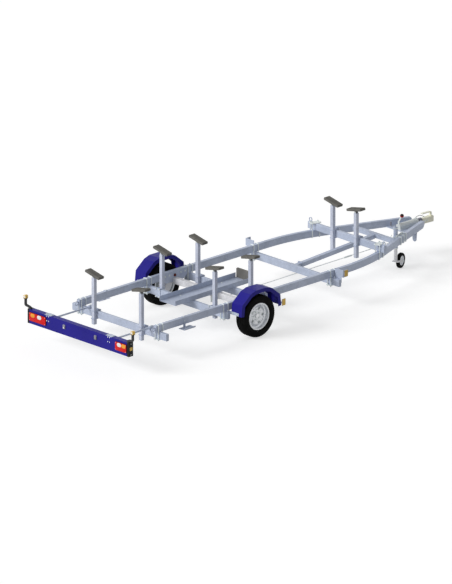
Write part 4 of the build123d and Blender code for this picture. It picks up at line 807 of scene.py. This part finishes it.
clamp_nuts = bmesh.new()
for reach in CLAMP_REACHES:
    for z in (RAIL_LOW - WIRE / 2, RAIL_TOP + WIRE / 2):
        tip = column + reach * ahead + (RAIL_FACE + PLATE + THREAD) * inward + Vector((0, 0, z))
        nut_on_thread(clamp_nuts, tip, inward, THREAD)
piece_of("jockey_clamp_nuts", clamp_nuts, "chassis", "bright_zinc")

# Clamping screw with its sliding bar
screw = bmesh.new()
seat = column + 0.038 * inward + Vector((0, 0, 0.471))
lathe(screw, [(0.0, 0), (0.013, 0), (0.013, 0.010), (0.0085, 0.012), (0.0085, 0.034), (0.011, 0.036),
              (0.011, 0.052), (0.009, 0.055), (0, 0.055)], along(seat, inward), 20)
bar_middle = seat + 0.044 * inward
bar_way = (ahead + Vector((0, 0, 0.7))).normalized()
lathe(screw, [(0, -0.052), (0.0065, -0.051), (0.0065, -0.046), (0.0042, -0.045), (0.0042, 0.045),
              (0.0065, 0.046), (0.0065, 0.051), (0, 0.052)], along(bar_middle, bar_way), 16)
piece_of("jockey_clamp_screw", screw, "chassis", "bright_zinc")

grip = bmesh.new()
grip_foot = column + Vector((-0.095, 0, 0.684))
lathe(grip, [(0, 0), (0.009, 0), (0.0125, 0.004), (0.0110, 0.012), (0.0122, 0.020), (0.0110, 0.028),
             (0.0122, 0.036), (0.0110, 0.044), (0.0125, 0.052), (0.0095, 0.0568), (0, 0.058)],
      along(grip_foot, (0, 0, 1)), 24)
piece_of("crank_grip", grip, "chassis", "lamp_grey")

collar = bmesh.new()
for z, width in ((0.628, 0.033), (0.339, 0.0325)):
    lathe(collar, [(0.0295, -0.006), (width, -0.005), (width, 0.005), (0.0295, 0.006)],
          along(column + Vector((0, 0, z)), (0, 0, 1)), 32, closed=True)
piece_of("jockey_collars", collar, "chassis", "bright_zinc")

roller = column + ROLLER_TRAIL * ahead + Vector((0, 0, ROLLER_R))
tread = bmesh.new()
# Half of the roller's tread and sidewall: (radius, distance across)
roller_half = [
    (ROLLER_R, 0.0), (ROLLER_R, 0.004), (ROLLER_R - 0.004, 0.005), (ROLLER_R - 0.004, 0.009),
    (ROLLER_R, 0.010), (ROLLER_R - 0.001, 0.016), (ROLLER_R - 0.005, 0.022), (ROLLER_R - 0.010, 0.0265),
    (ROLLER_R - 0.016, ROLLER_HALF), (0.084, ROLLER_HALF), (0.076, 0.0265), (0.0663, 0.0222),
]
section = [(radius, -across) for radius, across in reversed(roller_half[1:])] + roller_half
lathe(tread, section, along(roller, inward), 72, closed=True)
roller_tyre = piece_of("jockey_tread", tread, "jockey_roller", "tyre_rubber")
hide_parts("jockey_tyre")

axle_bolt = bmesh.new()
hex_bolt(axle_bolt, along(roller - FORK_HALF * inward, -inward), 0.024, 0.010)
washer(axle_bolt, along(roller + FORK_HALF * inward, inward), 0.008, 0.015)
nut(axle_bolt, along(roller + (FORK_HALF + 0.0025) * inward, inward), 0.008, 0.024, 0.012)
threaded_end(axle_bolt, along(roller + (FORK_HALF + 0.0145) * inward, inward), 0.005, 0.008)
piece_of("jockey_axle_bolt", axle_bolt, "jockey_fork", "bright_zinc")

# -------------------------------- axle and fenders

AXLE_BOLT_X = (-1.040, -0.960, -0.740, -0.660)
AXLE_BOLT_Z = 0.470
FENDER_LEAN = 0.110         # slope of the end panels
# Rows of bolts: x, distances from the middle, z, direction, width across the flats, height
BRACKET_BOLTS = (
    (-1.3035, (0.872, 0.950), 0.406, (-1, 0, FENDER_LEAN), 0.013, 0.006),
    (-0.530, (0.812, 0.834), 0.406, (1, 0, 0), 0.013, 0.006),
    (0.728, (0.830, 0.890), 0.394, (1, 0, 0), 0.017, 0.008),
)
axle_bolts = bmesh.new()
rust_bolts = bmesh.new()
fender_bolts = bmesh.new()
for side in SIDES.values():
    inner_face = side * (RAIL_Y - RAIL_HALF - PLATE)
    outer_face = side * (RAIL_Y + RAIL_HALF)
    for x in AXLE_BOLT_X:
        hex_bolt(axle_bolts, along((x, inner_face, AXLE_BOLT_Z), (0, -side, 0)), 0.019, 0.009)
        hex_bolt(axle_bolts, along((x, outer_face, AXLE_BOLT_Z), (0, side, 0)), 0.019, 0.009)
    hex_bolt(rust_bolts, along((-0.854, inner_face, 0.456), (0, -side, 0)), 0.030, 0.014)
    for x, offsets, z, direction, across, height in BRACKET_BOLTS:
        for y in offsets:
            hex_bolt(fender_bolts, along((x, side * y, z), direction), across, height)
piece_of("axle_bolts", axle_bolts, "chassis", "bright_zinc")
piece_of("axle_pivot_bolts", rust_bolts, "chassis", "rust_red")

# Back plates of the brakes, with pressed rings, over the arms' plain discs
BACK_PLATE_Y = WHEEL_Y - 0.083
PLATE_BOLT_R = 0.077
PLATE_BOLT_TURNS = (0.6, 2.1, 3.9, 5.4)
back_plates = bmesh.new()
for side in SIDES.values():
    place = along((WHEEL_X, side * BACK_PLATE_Y, TYRE_R), (0, -side, 0))
    lathe(back_plates, [(0.045, -0.0005), (0.045, 0.0030), (0.060, 0.0030), (0.066, 0.0010), (0.088, 0.0010),
                        (0.094, 0.0034), (0.118, 0.0034), (0.1275, 0.0010), (0.1275, -0.0060),
                        (0.1262, -0.0062), (0.1262, -0.0005)], place, 48, closed=True)
    for turn in PLATE_BOLT_TURNS:
        spot = place @ Vector((PLATE_BOLT_R * math.cos(turn), PLATE_BOLT_R * math.sin(turn), 0.0010))
        hex_bolt(back_plates, along(spot, (0, -side, 0)), 0.013, 0.006)
piece_of("brake_back_plates", back_plates, "chassis", "pale_zinc")
piece_of("bracket_bolts", fender_bolts, "chassis", "bright_zinc")

# Backings of the side reflectors, on the middle beam's end plates and on the fenders' bars
BACKING_SPOTS = ((0.780, 0.957, 0.5045), (-0.475, 1.024, 0.406))
frames = bmesh.new()
for x, y, z in BACKING_SPOTS:
    for side in SIDES.values():
        backing = Matrix.Translation((x, side * y, z)) @ Matrix.Rotation(-side * math.pi / 2, 4, "X")
        slab(frames, backing, 0.068, 0.098, 0.003, 0.006, 0.0008)
piece_of("reflector_frames", frames, "chassis", "pale_zinc")

# -------------------------------- trough, centre beam and steps

# Bolts that face forward: x, distance from the middle and heights
FACE_BOLTS = ((-0.210, 0.090, (0.455, 0.520)), (0.730, 0.055, (0.337, 0.403)))
trough_bolts = bmesh.new()
for x in (BEAM_X["aft"], BEAM_X["fore"]):
    for y in (-0.105, 0.105):
        dome_bolt(trough_bolts, along((x, y, 0.424), (0, 0, 1)), 0.012, 0.006)
for x, offset, heights in FACE_BOLTS:
    for y in (-offset, offset):
        for z in heights:
            hex_bolt(trough_bolts, along((x, y, z), (1, 0, 0)), 0.017, 0.008)
for side in SIDES.values():
    hex_bolt(trough_bolts, along((BEAM_X["rear"], side * ROD_Y, 0.462), (0, 0, 1)), 0.013, 0.008)
    # Two through each step's bracket, one on the rail's top and one on its side
    over = (STEP_X, side * (RAIL_Y + 0.008), RAIL_TOP + 0.006)
    beside = (STEP_X, side * (RAIL_Y + RAIL_HALF + 0.006), 0.470)
    hex_bolt(trough_bolts, along(over, (0, 0, 1)), 0.013, 0.006)
    hex_bolt(trough_bolts, along(beside, (0, side, 0)), 0.013, 0.006)
piece_of("frame_bolts", trough_bolts, "chassis", "bright_zinc")

# Raised bars of the steps' chequer plate, leaning to and fro
CHEQUER_ROWS, CHEQUER_ROW_Y, CHEQUER_ROW_PITCH = 4, 0.803, 0.0235
CHEQUER_COLUMNS, CHEQUER_PITCH = 8, 0.0255
chequers = bmesh.new()
for side in SIDES.values():
    for row in range(CHEQUER_ROWS):
        y = side * (CHEQUER_ROW_Y + row * CHEQUER_ROW_PITCH)
        for file in range(CHEQUER_COLUMNS):
            x = STEP_X + (file - (CHEQUER_COLUMNS - 1) / 2) * CHEQUER_PITCH
            lean = math.pi / 4 if (row + file) % 2 else -math.pi / 4
            bar = Matrix.Translation((x, y, STEP_TOP - 0.0004)) @ Matrix.Rotation(lean, 4, "Z")
            moulding(chequers, bar, [(0.024, 0.0065, 0.0032, 0), (0.022, 0.0045, 0.0022, 0.0016),
                                     (0.016, 0.0024, 0.0011, 0.0021)], 3)
piece_of("step_chequers", chequers, "chassis", "galvanised")

# -------------------------------- overrun device and coupling

NECK_BOLTS = ((3.196, 0.0335), (3.238, 0.0370))     # x and half the neck's width there
NECK_BOLT_Z = 0.462
BALL_X = 3.340
coupling_bolts = bmesh.new()
for x, y in NECK_BOLTS:
    hex_bolt(coupling_bolts, along((x, -y, NECK_BOLT_Z), (0, -1, 0)), 0.019, 0.009)
    nut_on_thread(coupling_bolts, Vector((x, y + THREAD, NECK_BOLT_Z)), (0, 1, 0), THREAD)
for way in (-1, 1):
    hex_bolt(coupling_bolts, along((BALL_X, way * 0.019, 0.532), (0, way, 0)), 0.013, 0.006)
    hex_bolt(coupling_bolts, along((2.730, way * 0.011, 0.540), (0, way, 0)), 0.013, 0.006)
    for x in (2.770, 2.975):
        hex_bolt(coupling_bolts, along((x, way * 0.030, 0.426), (0, 0, -1)), 0.019, 0.009)
# Grease nipples on top of the housing
for x in (2.830, 2.980):
    lathe(coupling_bolts, [(0.006, -0.002), (0.006, 0.004), (0.0035, 0.005), (0.0035, 0.008), (0.0042, 0.010),
                           (0.0030, 0.0125), (0, 0.0125)], along((x, 0, DRAW_Z + 0.044), (0, 0, 1)), 12)
piece_of("coupling_bolts", coupling_bolts, "chassis", "bright_zinc")

KNOB = Vector((2.790, 0, 0.624))
KNOB_R = 0.0280
KNOB_WAY = Vector((-0.50, -0.45, 0.74))


def knob_zone(mesh, lowest, highest, radius):
    """A zone of the brake knob between two latitudes in degrees, closed on its inside."""
    turns = [math.radians(angle) for angle in range(lowest, highest + 1, 10)]
    shell = [(radius * math.cos(turn), radius * math.sin(turn)) for turn in turns]
    lining = [(0.70 * width, 0.70 * height) for width, height in reversed(shell)]
    lathe(mesh, shell + lining, along(KNOB, KNOB_WAY), 32, closed=True)


knob = bmesh.new()
knob_zone(knob, -80, 40, KNOB_R)
piece_of("brake_knob_shell", knob, "chassis", "knob_red")
button = bmesh.new()
lathe(button, [(0.0196, 0.0150), (0.0212, 0.0188), (0.0160, 0.0238), (0.0080, 0.0272), (0, 0.0282)],
      along(KNOB, KNOB_WAY), 32)
piece_of("brake_knob_button", button, "chassis", "black_plastic")

# Nuts on the brake rod: at both ends of its adjuster, and in front of the brake lever
ROD_START = Vector((-0.850, 0, 0.258))
ROD_RISE = 0.032 / 3.880
ADJUSTER_X, ADJUSTER_HALF = 1.754, 0.060
rod_way = Vector((1, 0, ROD_RISE)).normalized()
rod_nuts = bmesh.new()
for way in (-1, 1):
    x = ADJUSTER_X + way * ADJUSTER_HALF
    spot = Vector((x, 0, ROD_START.z + (x - ROD_START.x) * ROD_RISE))
    nut(rod_nuts, along(spot, way * rod_way), 0.0045, 0.019)
nut_on_thread(rod_nuts, Vector((3.040 + THREAD, 0, 0.290)), (1, 0, 0), THREAD, 0.005, 0.017)
piece_of("brake_rod_nuts", rod_nuts, "chassis", "bright_zinc")

# Breakaway cable from the overrun housing to the coupling, with a ferrule at each end
CABLE_WIDE = 0.009
CABLE_POINTS = [(3.050, 0, 0.535), (3.135, 0, 0.580), (3.220, 0, 0.505)]
cable_data = bpy.data.curves.new("cable_loop", "CURVE")
cable_data.dimensions = "3D"
cable_data.bevel_depth = CABLE_WIDE / 2
cable_data.bevel_resolution = 4
cable_data.resolution_u = 24
cable_data.use_fill_caps = True
route = cable_data.splines.new("NURBS")
route.points.add(len(CABLE_POINTS) - 1)
for point, spot in zip(route.points, CABLE_POINTS):
    point.co = (*spot, 1)
route.order_u = 3
route.use_endpoint_u = True
cable = bpy.data.objects.new("cable_loop", cable_data)
bpy.context.scene.collection.objects.link(cable)
finish_with(cable, "cable_grey")
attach(cable, "chassis")
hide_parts("breakaway_cable")
ferrules = bmesh.new()
for spot, towards in ((CABLE_POINTS[0], CABLE_POINTS[1]), (CABLE_POINTS[2], CABLE_POINTS[1])):
    lathe(ferrules, [(0, -0.004), (0.0068, -0.003), (0.0068, 0.014), (0.0058, 0.016), (0.0046, 0.0165),
                     (0, 0.0165)], along(spot, Vector(towards) - Vector(spot)), 20)
ferrule = piece_of("cable_ferrules", ferrules, "chassis", "bright_zinc")

# -------------------------------- studio and camera

VIEW_AZIMUTH = math.radians(-44)
VIEW_ELEVATION = math.radians(19)
AIM = Vector((-0.5755, 0.0033, 0.3186))
LENS = 1300
VIEW_DISTANCE = 288.3
FLOOR_SIZE = 60
FLOOR_DROP = 0.001          # keeps the floor clear of the tyres' undersides
FLOOR_GREY = 0.56           # share the floor scatters, and as much again glows
KEY_ENERGY = 2.28
KEY_SPREAD = math.radians(25)
KEY_FROM = Vector((-0.80, 0.33, 0.50))
SURROUND_LIGHT, SURROUND_SEEN = 0.40, 1.0


def seen_directly(tree):
    """1 for rays from the camera, from gloss and through glass, and 0 for the rest."""
    path = tree.nodes.new("ShaderNodeLightPath")
    share = path.outputs["Is Camera Ray"]
    for kind in ("Is Glossy Ray", "Is Transmission Ray"):
        either = tree.nodes.new("ShaderNodeMath")
        either.operation = "MAXIMUM"
        tree.links.new(share, either.inputs[0])
        tree.links.new(path.outputs[kind], either.inputs[1])
        share = either.outputs[0]
    return share


def floor_material():
    """White where it is seen, and still darker where the object shades it."""
    material, tree, shader, _ = nodes_of("studio_floor")
    shader.inputs["Base Color"].default_value = (*grey(FLOOR_GREY), 1)
    shader.inputs["Roughness"].default_value = 0.9
    glow = tree.nodes.new("ShaderNodeEmission")
    level = tree.nodes.new("ShaderNodeMath")
    level.operation = "MULTIPLY"
    level.inputs[1].default_value = FLOOR_GREY
    tree.links.new(seen_directly(tree), level.inputs[0])
    tree.links.new(level.outputs[0], glow.inputs["Strength"])
    both = tree.nodes.new("ShaderNodeAddShader")
    tree.links.new(shader.outputs[0], both.inputs[0])
    tree.links.new(glow.outputs[0], both.inputs[1])
    tree.links.new(both.outputs[0], tree.nodes["Material Output"].inputs["Surface"])
    return material


def studio():
    """Plain floor, a broad key from behind on the left, and an even white surround."""
    mesh = bpy.data.meshes.new("floor")
    half = FLOOR_SIZE / 2
    corners = [(-half, -half, 0), (half, -half, 0), (half, half, 0), (-half, half, 0)]
    mesh.from_pydata(corners, [], [(0, 1, 2, 3)])
    floor = bpy.data.objects.new("floor", mesh)
    bpy.context.scene.collection.objects.link(floor)
    floor.location.z = -FLOOR_DROP
    mesh.materials.append(floor_material())

    key_data = bpy.data.lights.new("key", "SUN")
    key_data.energy = KEY_ENERGY
    key_data.angle = KEY_SPREAD
    key = bpy.data.objects.new("key", key_data)
    bpy.context.scene.collection.objects.link(key)
    key.rotation_mode = "QUATERNION"
    key.rotation_quaternion = KEY_FROM.to_track_quat("Z", "Y")

    world = bpy.data.worlds.new("surround")
    bpy.context.scene.world = world
    world.use_nodes = True
    tree = world.node_tree
    backdrop = tree.nodes["Background"]
    level = tree.nodes.new("ShaderNodeMapRange")
    level.inputs["To Min"].default_value = SURROUND_LIGHT
    level.inputs["To Max"].default_value = SURROUND_SEEN
    tree.links.new(seen_directly(tree), level.inputs["Value"])
    tree.links.new(level.outputs[0], backdrop.inputs["Strength"])
    backdrop.inputs["Color"].default_value = (1, 1, 1, 1)


def camera():
    """A three-quarter view from behind on the right, through a very long lens."""
    data = bpy.data.cameras.new("camera")
    data.lens = LENS
    data.clip_end = 2 * VIEW_DISTANCE
    eye = bpy.data.objects.new("camera", data)
    bpy.context.scene.collection.objects.link(eye)
    back = Vector((
        math.sin(VIEW_AZIMUTH) * math.cos(VIEW_ELEVATION),
        -math.cos(VIEW_AZIMUTH) * math.cos(VIEW_ELEVATION),
        math.sin(VIEW_ELEVATION),
    ))
    eye.location = AIM + back * VIEW_DISTANCE
    eye.rotation_mode = "QUATERNION"
    eye.rotation_quaternion = back.to_track_quat("Z", "Y")
    bpy.context.scene.camera = eye


studio()
camera()
bpy.context.scene.view_settings.view_transform = "Standard"
